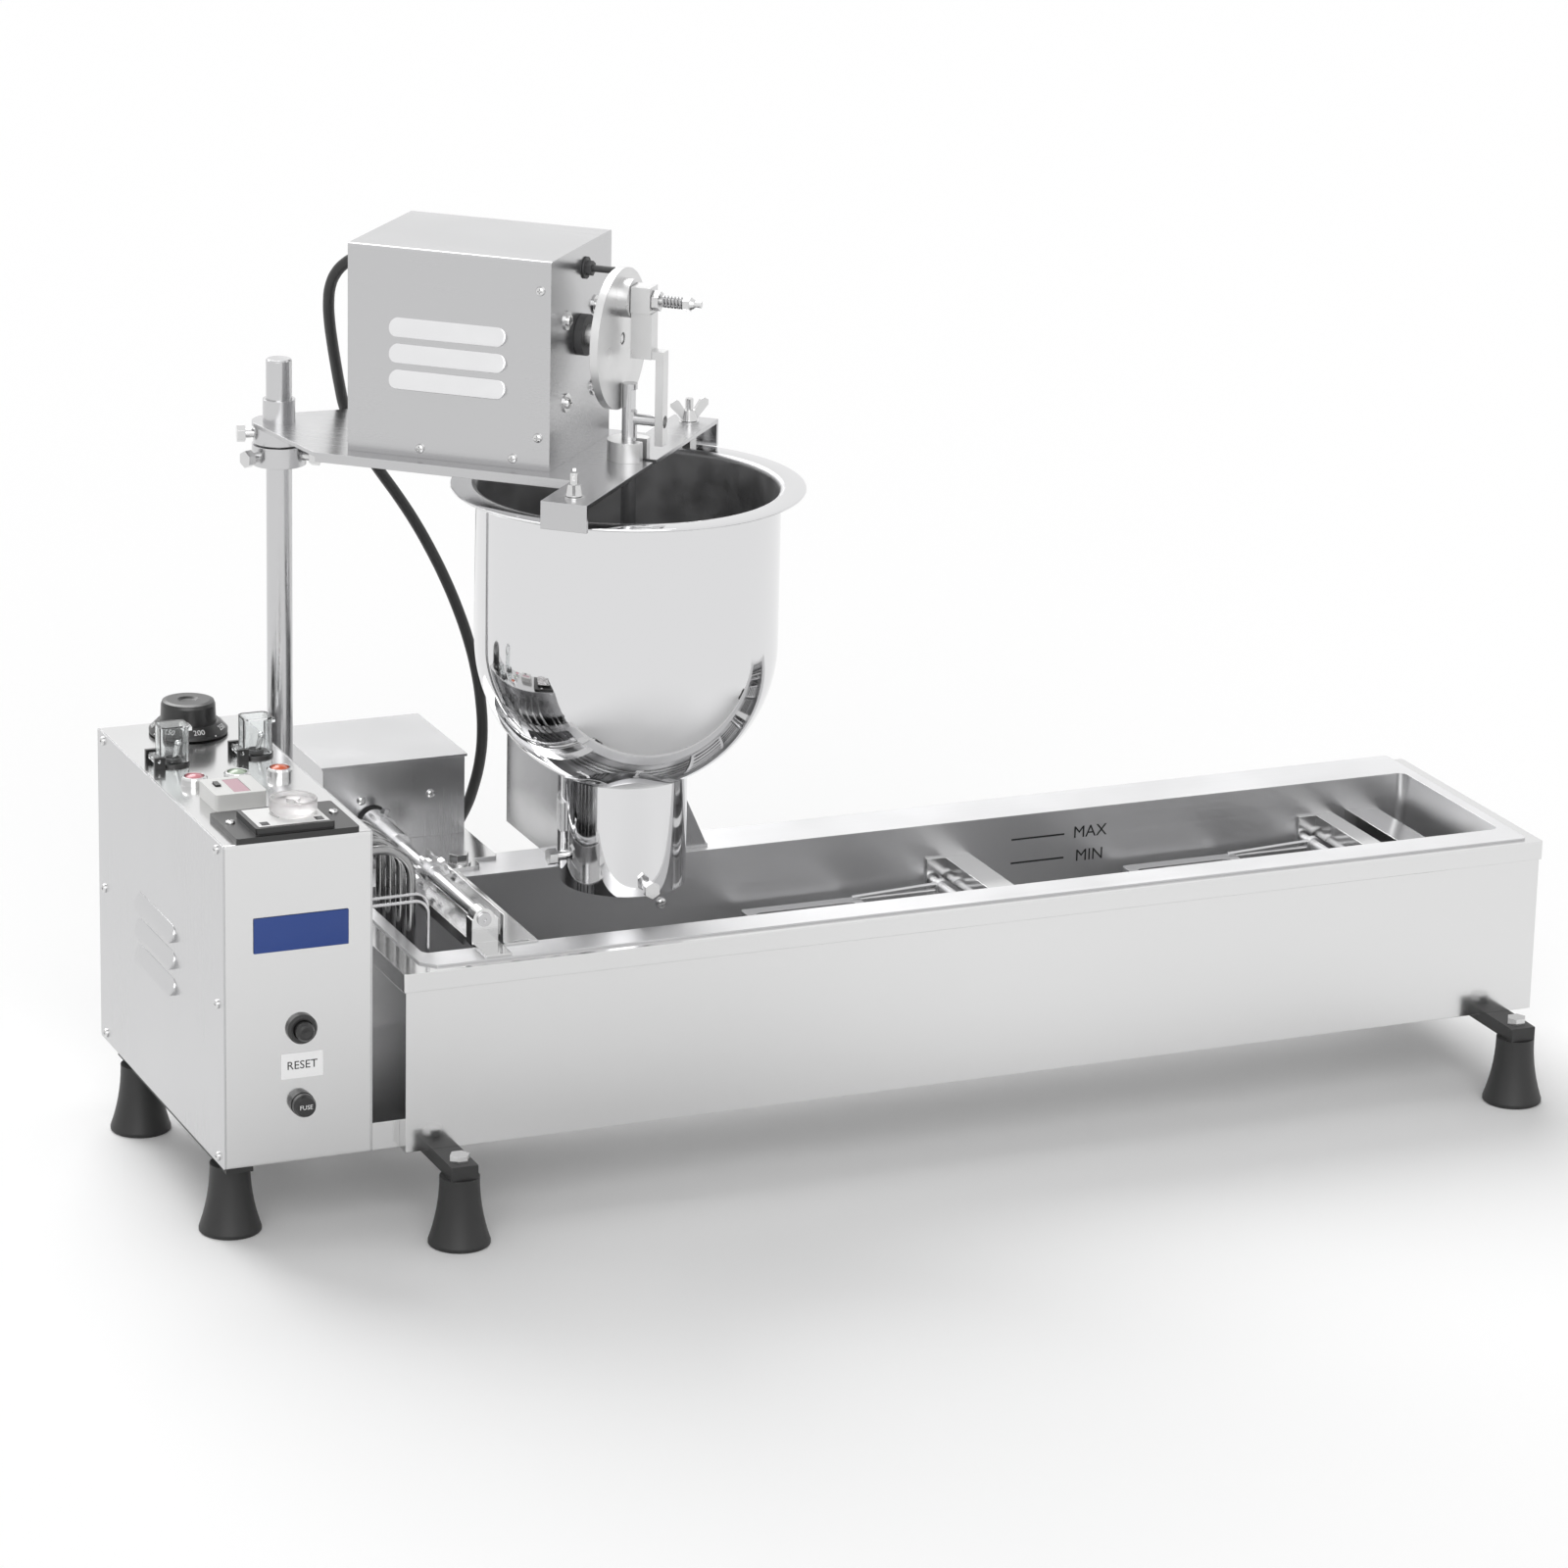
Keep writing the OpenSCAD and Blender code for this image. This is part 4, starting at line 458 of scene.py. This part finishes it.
class DOUGHNUT_OT_camera(bpy.types.Operator):
    """Sets the camera up"""

    bl_idname = "doughnut.camera"
    bl_label = "Camera"

    def execute(self, context):
        azimuth, elevation, roll = (math.radians(a) for a in CAMERA_ANGLES)
        look = Vector(
            (
                -math.sin(azimuth) * math.cos(elevation),
                math.cos(azimuth) * math.cos(elevation),
                -math.sin(elevation),
            )
        )
        level = Vector((math.cos(azimuth), math.sin(azimuth), 0))
        over = level.cross(look)
        right = level * math.cos(roll) + over * math.sin(roll)
        up = -level * math.sin(roll) + over * math.cos(roll)
        data = bpy.data.cameras.new("camera")
        data.lens = context.scene.doughnut_stage.lens
        data.sensor_width = SENSOR_WIDTH
        data.clip_start, data.clip_end = 0.1, 60.0
        camera = bpy.data.objects.new("camera", data)
        camera.matrix_world = Matrix.Translation(place(*CAMERA_SPOT)) @ (
            Matrix((right, up, -look)).transposed().to_4x4()
        )
        context.scene.collection.objects.link(camera)
        context.scene.camera = camera
        return {"FINISHED"}


# Route of the motor cable, from the motor cover to the back of the control box
CABLE_ROUTE = [
    (203, 247, 654.5), (196.5, 253, 654), (188.5, 260.5, 651.5), (182, 268, 645.5),
    (177, 275, 636.5), (175, 281, 625.5), (175.5, 286, 613), (178, 291.5, 598), (182.5, 298.5, 580),
    (188, 306.5, 561), (193.5, 314, 543), (199.5, 320.5, 524.5), (209, 326, 504.5),
    (220, 329.5, 486.5), (232, 331, 469), (246, 331, 449), (259.5, 330, 427.5), (271.5, 328, 405),
    (282, 326, 382.5), (291, 323.5, 359.5), (298.5, 321, 336), (304, 318.5, 312), (307.5, 317, 287.5),
    (309, 317, 263.5), (308.5, 320, 240.5), (306, 326, 218), (302, 334, 197), (295, 343, 178),
    (284, 350.5, 162.5), (269, 355.5, 152), (249, 358.5, 145.5), (226, 359.5, 142.5),
    (201, 359, 141.5), (176, 358, 141.5), (151, 356, 143), (128, 351.5, 145.5), (108, 343.5, 148),
    (93, 331.5, 149.5), (84.5, 317, 150), (82.5, 304, 150), (82.5, 297, 150),
]
CABLE_DIAMETER = 8.5


class DOUGHNUT_OT_cable(bpy.types.Operator):
    """Makes the motor cable"""

    bl_idname = "doughnut.cable"
    bl_label = "Motor cable"

    def execute(self, context):
        points = [place(*p) for p in CABLE_ROUTE]
        curve = bpy.data.curves.new("motor_cable", "CURVE")
        curve.dimensions = "3D"
        spline = curve.splines.new("BEZIER")
        spline.bezier_points.add(len(points) - 1)
        for knot, point in zip(spline.bezier_points, points, strict=True):
            knot.co = point
            knot.handle_left_type = knot.handle_right_type = "AUTO"
        spline.resolution_u = 4
        curve.bevel_depth = CABLE_DIAMETER / 2 * MM
        curve.bevel_resolution = 5
        curve.use_fill_caps = True
        curve.materials.append(finish_of("sheath"))
        cable = bpy.data.objects.new("motor_cable", curve)
        context.scene.collection.objects.link(cable)
        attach(cable, BODY)
        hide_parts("cable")
        return {"FINISHED"}


class DOUGHNUT_OT_finishes(bpy.types.Operator):
    """Gives each CAD piece its finish"""

    bl_idname = "doughnut.finishes"
    bl_label = "Finishes"

    def execute(self, context):
        for finish, nodes in NODE_FINISHES.items():
            for node in nodes:
                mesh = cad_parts[node].data
                mesh.materials.clear()
                mesh.materials.append(finish_of(finish))
        return {"FINISHED"}


# Heights of the hopper: its rim, the centre of the bowl's round bottom and the neck's foot
RIM_TOP = 510.0
BOWL_CENTRE = 394.0
NECK_FOOT = 212.0
# Rings of points that keep the faces of the straight walls short, and the last ones of each wall
WALL_RINGS = (430.0, 470.0)
WALL_END = 505.0
NECK_RING = 232.0
NECK_END = 288.0
# Radius of the flange's edge, of the bend below it and of the bend into the bowl
FLANGE_EDGE = 1.0
UNDER_BEND = 2.6
BOWL_BEND = 4.0
BOWL_STEPS = 28


class DOUGHNUT_OT_hopper(bpy.types.Operator):
    """Spins the hopper from a round-edged profile"""

    bl_idname = "doughnut.hopper"
    bl_label = "Hopper"

    def execute(self, context):
        s = context.scene.doughnut_hopper
        outer, inner = s.bowl_radius / MM, (s.bowl_radius - s.wall) / MM
        neck, bore = s.neck_radius / MM, (s.neck_radius - s.wall) / MM
        rim = outer + s.flange_width / MM
        dip_out = math.degrees(math.asin(neck / outer))
        dip_in = math.degrees(math.asin(bore / inner))
        under = RIM_TOP - 2 * FLANGE_EDGE
        profile = [(bore, NECK_FOOT)]
        profile += [(neck, NECK_FOOT), (neck, NECK_RING), (neck, NECK_END)]
        profile += arc(0, BOWL_CENTRE, outer, -90 + dip_out, 0, BOWL_STEPS)
        profile += [(outer, z) for z in (*WALL_RINGS, WALL_END)]
        profile += arc(outer + UNDER_BEND, under - UNDER_BEND, UNDER_BEND, 180, 90, 5)
        profile += [(rim - FLANGE_EDGE, under)]
        profile += arc(rim - FLANGE_EDGE, RIM_TOP - FLANGE_EDGE, FLANGE_EDGE, -90, 90, 6)
        profile += arc(inner + BOWL_BEND, RIM_TOP - BOWL_BEND, BOWL_BEND, 90, 180, 6)
        profile += [(inner, z) for z in reversed(WALL_RINGS)]
        profile += arc(0, BOWL_CENTRE, inner, 0, -90 + dip_in, BOWL_STEPS)
        profile += [(bore, NECK_END - 1), (bore, NECK_RING), (bore, NECK_FOOT)]
        bm = bmesh.new()
        lathe(bm, profile, HOPPER_AXIS, 128)
        axis = place(*HOPPER_AXIS)
        # Faces that look towards the axis are the inside, and take the second finish
        for face in bm.faces:
            out = face.calc_center_median() - axis
            out.z = 0
            face.material_index = int(face.normal.dot(out) < -1e-4 * out.length)
        bowl = put_piece(
            "hopper_bowl", bm, "mirror",
            replaces=("hopper", "hopper_dome", "hopper_neck"), smooth=50,
        )
        bowl.data.materials.append(finish_of("bowl_inside"))
        return {"FINISHED"}


# A pressed louvre: half its length and width, and how far its lower part stands out of the sheet
LOUVRE_REACH = 44.8
LOUVRE_HALF = 7.0
LOUVRE_DEPTH = 4.35
# Above the lip it loses this much of its depth for each millimetre up
LOUVRE_LIP = -5.0
LOUVRE_SLOPE = 0.33
# It sits this far above the middle it is given, and its rim this deep in the sheet
LOUVRE_RAISED = 0.5
LOUVRE_ROOT = 0.1
# Steps of its rounded edge: how far in, and how far up as a share of its depth
LOUVRE_STEPS = ((0.12, 0.8), (0.25, 0.13), (0.5, 0.05), (0.9, 0.02))
LOUVRE_POINTS = 32
# Heights of the rows on the motor cover and on the box's side, and where their middles lie:
# along the arm from the hopper and out to the cover's two faces, and back along the side
MOTOR_LOUVRES = (584.5, 603.5, 622.5)
SIDE_LOUVRES = (160.0, 180.0, 200.0)
COVER_MIDDLE = -116.0
COVER_HALF = 60.0
SIDE_MIDDLE = 156.0


def louvre(bm, middle, along, out):
    """Presses one louvre: a pill that leans out of the sheet towards its lower edge."""
    made = bmesh.ops.create_circle(
        bm, cap_ends=True, radius=LOUVRE_HALF, segments=LOUVRE_POINTS,
        matrix=Matrix.Rotation(math.pi / LOUVRE_POINTS, 4, "Z"),
    )["verts"]
    for vert in made:
        vert.co.x += math.copysign(LOUVRE_REACH - LOUVRE_HALF, vert.co.x)
    crown = list({f for v in made for f in v.link_faces})
    sides = []
    for step, rise in LOUVRE_STEPS:
        sides += bmesh.ops.inset_region(
            bm, faces=crown, thickness=step, depth=rise, use_boundary=True, use_even_offset=True
        )["faces"]
    bmesh.ops.holes_fill(bm, edges=[e for e in bm.edges if e.is_boundary], sides=0)
    verts = {v for f in crown + sides for v in f.verts}
    along, out = Vector(along), Vector(out)
    for vert in verts:
        x, y, height = vert.co
        y += LOUVRE_RAISED
        reach = min(LOUVRE_DEPTH, LOUVRE_DEPTH - LOUVRE_SLOPE * (y - LOUVRE_LIP))
        lean = height * reach - LOUVRE_ROOT
        spot = Vector(middle) + along * x + out * lean + Vector((0, 0, y))
        vert.co = place(*spot)


class DOUGHNUT_OT_louvres(bpy.types.Operator):
    """Presses the louvres of the motor cover and of the control box's side"""

    bl_idname = "doughnut.louvres"
    bl_label = "Louvres"

    def execute(self, context):
        arm = HOPPER_AXIS - POST_AXIS
        turn = Matrix.Rotation(math.atan2(arm.y, arm.x), 3, "Z")
        bm = bmesh.new()
        for height in MOTOR_LOUVRES:
            for face in (-1, 1):
                middle = HOPPER_AXIS + turn @ Vector((COVER_MIDDLE, face * COVER_HALF, height))
                louvre(bm, middle, turn @ Vector((1, 0, 0)), turn @ Vector((0, face, 0)))
        bmesh.ops.recalc_face_normals(bm, faces=bm.faces)
        # The motor louvres take the paler finish, a painted highlight
        put_piece("motor_louvres", bm, "louvre", smooth=60)
        bm = bmesh.new()
        for height in SIDE_LOUVRES:
            louvre(bm, (0.0, SIDE_MIDDLE, height), (0, 1, 0), (-1, 0, 0))
        bmesh.ops.recalc_face_normals(bm, faces=bm.faces)
        # The side louvres take the same greyer sheet, painted shade
        put_piece("side_louvres", bm, "satin_up_painted_shade", smooth=60)
        return {"FINISHED"}


# Middles of the three lamps, and their finishes from left to right
LAMP_SPOTS = (25.5, 57.5, 89.5)
LAMP_ROW = 144.0
LAMP_TINTS = ("lens_red", "lens_green", "lens_orange")
# A lens: its radius, and its foot and shoulder above the panel
LENS_RADIUS = 7.15
LENS_FOOT = BOX_TOP + 1.6
LENS_SHOULDER = BOX_TOP + 4.2
# The dome that closes it: its radius, how far its centre lies below the shoulder, and the angle
# in degrees at which it starts
DOME_RADIUS = 8.84
DOME_DROP = 5.2
DOME_START = 36


class DOUGHNUT_OT_lamps(bpy.types.Operator):
    """Makes the three lamp lenses"""

    bl_idname = "doughnut.lamps"
    bl_label = "Lamp lenses"

    def execute(self, context):
        profile = [(0, LENS_FOOT), (LENS_RADIUS, LENS_FOOT), (LENS_RADIUS, LENS_SHOULDER)]
        profile += arc(0, LENS_SHOULDER - DOME_DROP, DOME_RADIUS, DOME_START, 90, 10)
        for number, (x, tint) in enumerate(zip(LAMP_SPOTS, LAMP_TINTS, strict=True)):
            bm = bmesh.new()
            lathe(bm, profile, Vector((x, LAMP_ROW, 0)), 40)
            replaced = ("lamp_lenses",) if number == 0 else ()
            name = "lamp_lens_%d" % (number + 1)
            put_piece(name, bm, tint, replaces=replaced)
        return {"FINISHED"}


# Left, right, bottom and top of what lies on the front of the box, and its thickness
RESET_LABEL = (42, 73, 125, 144)
LABEL_THICK = 0.3
NAME_PLATE = (22, 92, 221, 247)
PLATE_THICK = 1.0
# How far the middle of RESET's ink stands out of its label
INK_OUT = 0.04
# Middle and height of the word on the end of the fuse cap
FUSE_SPOT = (57, -10.95, 106)
FUSE_LETTERS = 3.2
# Oil marks on the back wall of the pan: their heights, the ends and half the width of a line, how
# far a line stands out of the wall, and the words' middle and letters
OIL_MARKS = (("MAX", 179), ("MIN", 160))
MARK_LINE = (690, 735)
MARK_HALF = 0.7
MARK_OUT = 0.25
MARK_WORD = 757
MARK_LETTERS = 9.4
# Numbers on the skirt of the thermostat's knob: its axis, how far out and how high they stand,
# and where they start and how far they run round in degrees
KNOB_AXIS = Vector((60, 267, 0))
SCALE_OUT = 26.2
SCALE_UP = BOX_TOP + 1 + 5.6
SCALE_START = -150
SCALE_SWEEP = 300
# The first number, what each half step adds, and the sizes of numbers and dots
LOWEST_NUMBER = 50
HALF_STEP = 25
NUMBER_LETTERS = 4.2
DOT_SIZE = 7
DOT_DROP = 2.2


class DOUGHNUT_OT_lettering(bpy.types.Operator):
    """Adds the labels, marks and numbers"""

    bl_idname = "doughnut.lettering"
    bl_label = "Labels and numbers"

    def execute(self, context):
        s = context.scene.doughnut_panel
        right, up = (1, 0, 0), (0, 0, 1)
        bm = bmesh.new()
        x0, x1, z0, z1 = RESET_LABEL
        slab(bm, x0, x1, -LABEL_THICK, -LAID_GAP, z0, z1, 0.08)
        put_piece("reset_label", bm, "label", smooth=0)
        bm = bmesh.new()
        spot = ((x0 + x1) / 2, -LABEL_THICK - INK_OUT, (z0 + z1) / 2)
        lettering(bm, "RESET", s.letter_height / MM, spot, right, up)
        put_piece("reset_lettering", bm, "ink_black", smooth=0)
        bm = bmesh.new()
        lettering(bm, "FUSE", FUSE_LETTERS, FUSE_SPOT, right, up)
        put_piece("fuse_lettering", bm, "ink_white", body="fuse_cap", smooth=0)
        bm = bmesh.new()
        x0, x1, z0, z1 = NAME_PLATE
        slab(bm, x0, x1, -PLATE_THICK, -LAID_GAP, z0, z1, 0.6)
        plate = put_piece("name_plate", bm, "plate_blue")
        surface = plate.data.materials[0].node_tree.nodes["Principled BSDF"]
        surface.inputs["Base Color"].default_value = (*s.plate_colour, 1.0)
        bm = bmesh.new()
        for text, z in OIL_MARKS:
            wall = (PAN_BACK - MARK_OUT, PAN_BACK - LAID_GAP)
            slab(bm, *MARK_LINE, *wall, z - MARK_HALF, z + MARK_HALF)
            lettering(bm, text, MARK_LETTERS, (MARK_WORD, PAN_BACK - 0.15, z), right, up)
        put_piece("oil_marks", bm, "ink_black", smooth=0)
        bm = bmesh.new()
        steps = s.knob_numbers * 2
        for step in range(steps):
            angle = math.radians(SCALE_START + step * SCALE_SWEEP / steps)
            away = Vector((math.sin(angle), -math.cos(angle), 0))
            rise = (Vector((0, 0, 1)) - away).normalized()
            side = Vector((-away.y, away.x, 0))
            spot = KNOB_AXIS + away * SCALE_OUT + Vector((0, 0, SCALE_UP))
            # A number at every other step, and a dot low down between two numbers
            if step % 2:
                lettering(bm, ".", DOT_SIZE, spot - rise * DOT_DROP, side, rise)
            else:
                number = LOWEST_NUMBER + HALF_STEP * step
                lettering(bm, str(number), NUMBER_LETTERS, spot, side, rise)
        put_piece(
            "knob_numbers", bm, "ink_white", body="thermostat_knob", smooth=0
        )
        return {"FINISHED"}


# Left, right, front and back of the timer's face and of the counter's window, and their height
TIMER_FACE = (29, 81, 7.5, 47.5)
TIMER_TOP = BOX_TOP + 9
COUNTER_WINDOW = (35.4, 47.1, 81.2, 111.2)
COUNTER_TOP = BOX_TOP + 11.25
# Timer windows: left edges, then width, front and back
TIMER_WINDOWS = (32, 72)
WINDOW_WIDTH = 6
WINDOW_FRONT = 10
WINDOW_BACK = 17
# Timer scale: its marks, the first mark and the step in degrees, every fourth one longer
TICKS = 25
TICK_START = -120
TICK_STEP = 10
TICK_LONG = 3.4
TICK_SHORT = 2.2
TICK_WIDTH = 0.3
# How far their middles lie inside the dial's edge
TICK_INSET = 1.5


class DOUGHNUT_OT_panel_faces(bpy.types.Operator):
    """Adds the timer's face and the counter's window"""

    bl_idname = "doughnut.panel_faces"
    bl_label = "Timer face and counter window"

    def execute(self, context):
        bm = bmesh.new()
        slab(bm, *TIMER_FACE, TIMER_TOP, TIMER_TOP + 0.25, 0.1, 1)
        put_piece("timer_face", bm, "dial_face", smooth=0)
        low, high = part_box("timer_dial")
        dial = (low + high) / 2 / MM - CORNER
        reach = (high.x - low.x) / 2 / MM
        bm = bmesh.new()
        for step in range(TICKS):
            turn = math.radians(TICK_START + TICK_STEP * step)
            away = Vector((math.sin(turn), math.cos(turn), 0))
            length = TICK_SHORT if step % 4 else TICK_LONG
            tick = bmesh.ops.create_cube(bm, size=1.0)["verts"]
            bmesh.ops.scale(bm, vec=Vector((TICK_WIDTH, length, INK_THICK)) * MM, verts=tick)
            bmesh.ops.rotate(bm, matrix=Matrix.Rotation(-turn, 3, "Z"), verts=tick)
            spot = Vector((dial.x, dial.y, 0)) + away * (reach - TICK_INSET)
            bmesh.ops.translate(bm, vec=place(spot.x, spot.y, TIMER_TOP + 0.3), verts=tick)
        put_piece("timer_scale", bm, "ink_black", smooth=0)
        bm = bmesh.new()
        for x in TIMER_WINDOWS:
            slab(
                bm, x, x + WINDOW_WIDTH, WINDOW_FRONT, WINDOW_BACK,
                TIMER_TOP + 0.1, TIMER_TOP + 0.5, 0.15,
            )
        put_piece("timer_windows", bm, "window", smooth=0)
        bm = bmesh.new()
        slab(bm, *COUNTER_WINDOW, COUNTER_TOP, COUNTER_TOP + 0.65, 0.2, 1)
        put_piece("counter_window", bm, "display", smooth=0)
        return {"FINISHED"}


# Lamps: where each shines from, how wide it looks in degrees, and its strength
LAMPS = {
    "key": ((-0.08, 0.95, 1.0), 46.0, 2.0),
    "fill": ((-0.7, -1.8, 1.2), 50.0, 1.0),
}
# Strength of the world's light, and of the white that the eye, metal and glass see
WORLD_LEVEL = 0.4
BACKGROUND_LEVEL = 1.0
# Half the floor's side in metres
FLOOR_REACH = 30.0


class DOUGHNUT_OT_stage(bpy.types.Operator):
    """Makes the floor, the lamps and the world"""

    bl_idname = "doughnut.stage"
    bl_label = "Floor and light"

    def execute(self, context):
        bm = bmesh.new()
        bmesh.ops.create_grid(bm, x_segments=1, y_segments=1, size=FLOOR_REACH)
        mesh = bpy.data.meshes.new("floor")
        bm.to_mesh(mesh)
        bm.free()
        floor = bpy.data.objects.new("floor", mesh)
        context.scene.collection.objects.link(floor)
        mesh.materials.append(self.floor_material(context.scene.doughnut_stage.floor_colour))
        for name, (source, spread, strength) in LAMPS.items():
            self.lamp(name, source, spread, strength)
        self.world(context.scene)
        context.scene.view_settings.view_transform = "Standard"
        return {"FINISHED"}

    def floor_material(self, colour):
        """Plain pale paper, the same all over, which keeps the machine's shadow."""
        return new_material(
            "pale_floor", Base_Color=(*colour, 1.0), Roughness=0.9, Specular_IOR_Level=0.0
        )[0]

    def lamp(self, name, source, spread, strength):
        """A wide soft light from that side, as even over the floor as daylight through a diffuser."""
        data = bpy.data.lights.new(name, "SUN")
        data.angle = math.radians(spread)
        data.energy = strength
        lamp = bpy.data.objects.new(name, data)
        lamp.rotation_mode = "QUATERNION"
        lamp.rotation_quaternion = Vector(source).to_track_quat("Z", "Y")
        bpy.context.scene.collection.objects.link(lamp)

    def world(self, scene):
        """Even light, and one plain white background for the eye, for metal and for glass alike."""
        world = bpy.data.worlds.new("studio")
        world.use_nodes = True
        tree = world.node_tree
        tree.nodes.clear()
        shown, white = (
            add_node(tree, "ShaderNodeBackground", {"Color": (1, 1, 1, 1), "Strength": level})
            for level in (WORLD_LEVEL, BACKGROUND_LEVEL)
        )
        path = add_node(tree, "ShaderNodeLightPath")
        for kind in ("Is Camera Ray", "Is Glossy Ray", "Is Transmission Ray"):
            shown = add_node(
                tree, "ShaderNodeMixShader",
                links={0: path.outputs[kind], 1: shown.outputs[0], 2: white.outputs[0]},
            )
        add_node(tree, "ShaderNodeOutputWorld", links={"Surface": shown.outputs[0]})
        scene.world = world


class DOUGHNUT_PT_panel(bpy.types.Panel):
    """Lists the machine's operators"""

    bl_label = "Doughnut Machine"
    bl_idname = "DOUGHNUT_PT_panel"
    bl_space_type = "VIEW_3D"
    bl_region_type = "UI"
    bl_category = "Doughnut"

    def draw(self, context):
        for settings, kind in SETTINGS.items():
            for name in kind.__annotations__:
                self.layout.prop(getattr(context.scene, settings), name)
        for operator in OPERATORS:
            self.layout.operator(operator.bl_idname)


SETTINGS = {
    "doughnut_hopper": HopperSettings,
    "doughnut_panel": PanelSettings,
    "doughnut_stage": StageSettings,
}
OPERATORS = [
    DOUGHNUT_OT_camera,
    DOUGHNUT_OT_cable,
    DOUGHNUT_OT_finishes,
    DOUGHNUT_OT_hopper,
    DOUGHNUT_OT_louvres,
    DOUGHNUT_OT_lamps,
    DOUGHNUT_OT_lettering,
    DOUGHNUT_OT_panel_faces,
    DOUGHNUT_OT_stage,
]


def register():
    for group in SETTINGS.values():
        bpy.utils.register_class(group)
    for name, group in SETTINGS.items():
        setattr(bpy.types.Scene, name, PointerProperty(type=group))
    for operator in OPERATORS:
        bpy.utils.register_class(operator)
    bpy.utils.register_class(DOUGHNUT_PT_panel)


def unregister():
    bpy.utils.unregister_class(DOUGHNUT_PT_panel)
    for operator in reversed(OPERATORS):
        bpy.utils.unregister_class(operator)
    for name, group in SETTINGS.items():
        delattr(bpy.types.Scene, name)
        bpy.utils.unregister_class(group)


def main():
    register()
    bpy.ops.doughnut.camera()
    bpy.ops.doughnut.cable()
    bpy.ops.doughnut.finishes()
    bpy.ops.doughnut.hopper()
    bpy.ops.doughnut.louvres()
    bpy.ops.doughnut.lamps()
    bpy.ops.doughnut.lettering()
    bpy.ops.doughnut.panel_faces()
    bpy.ops.doughnut.stage()


if __name__ == "__main__":
    main()
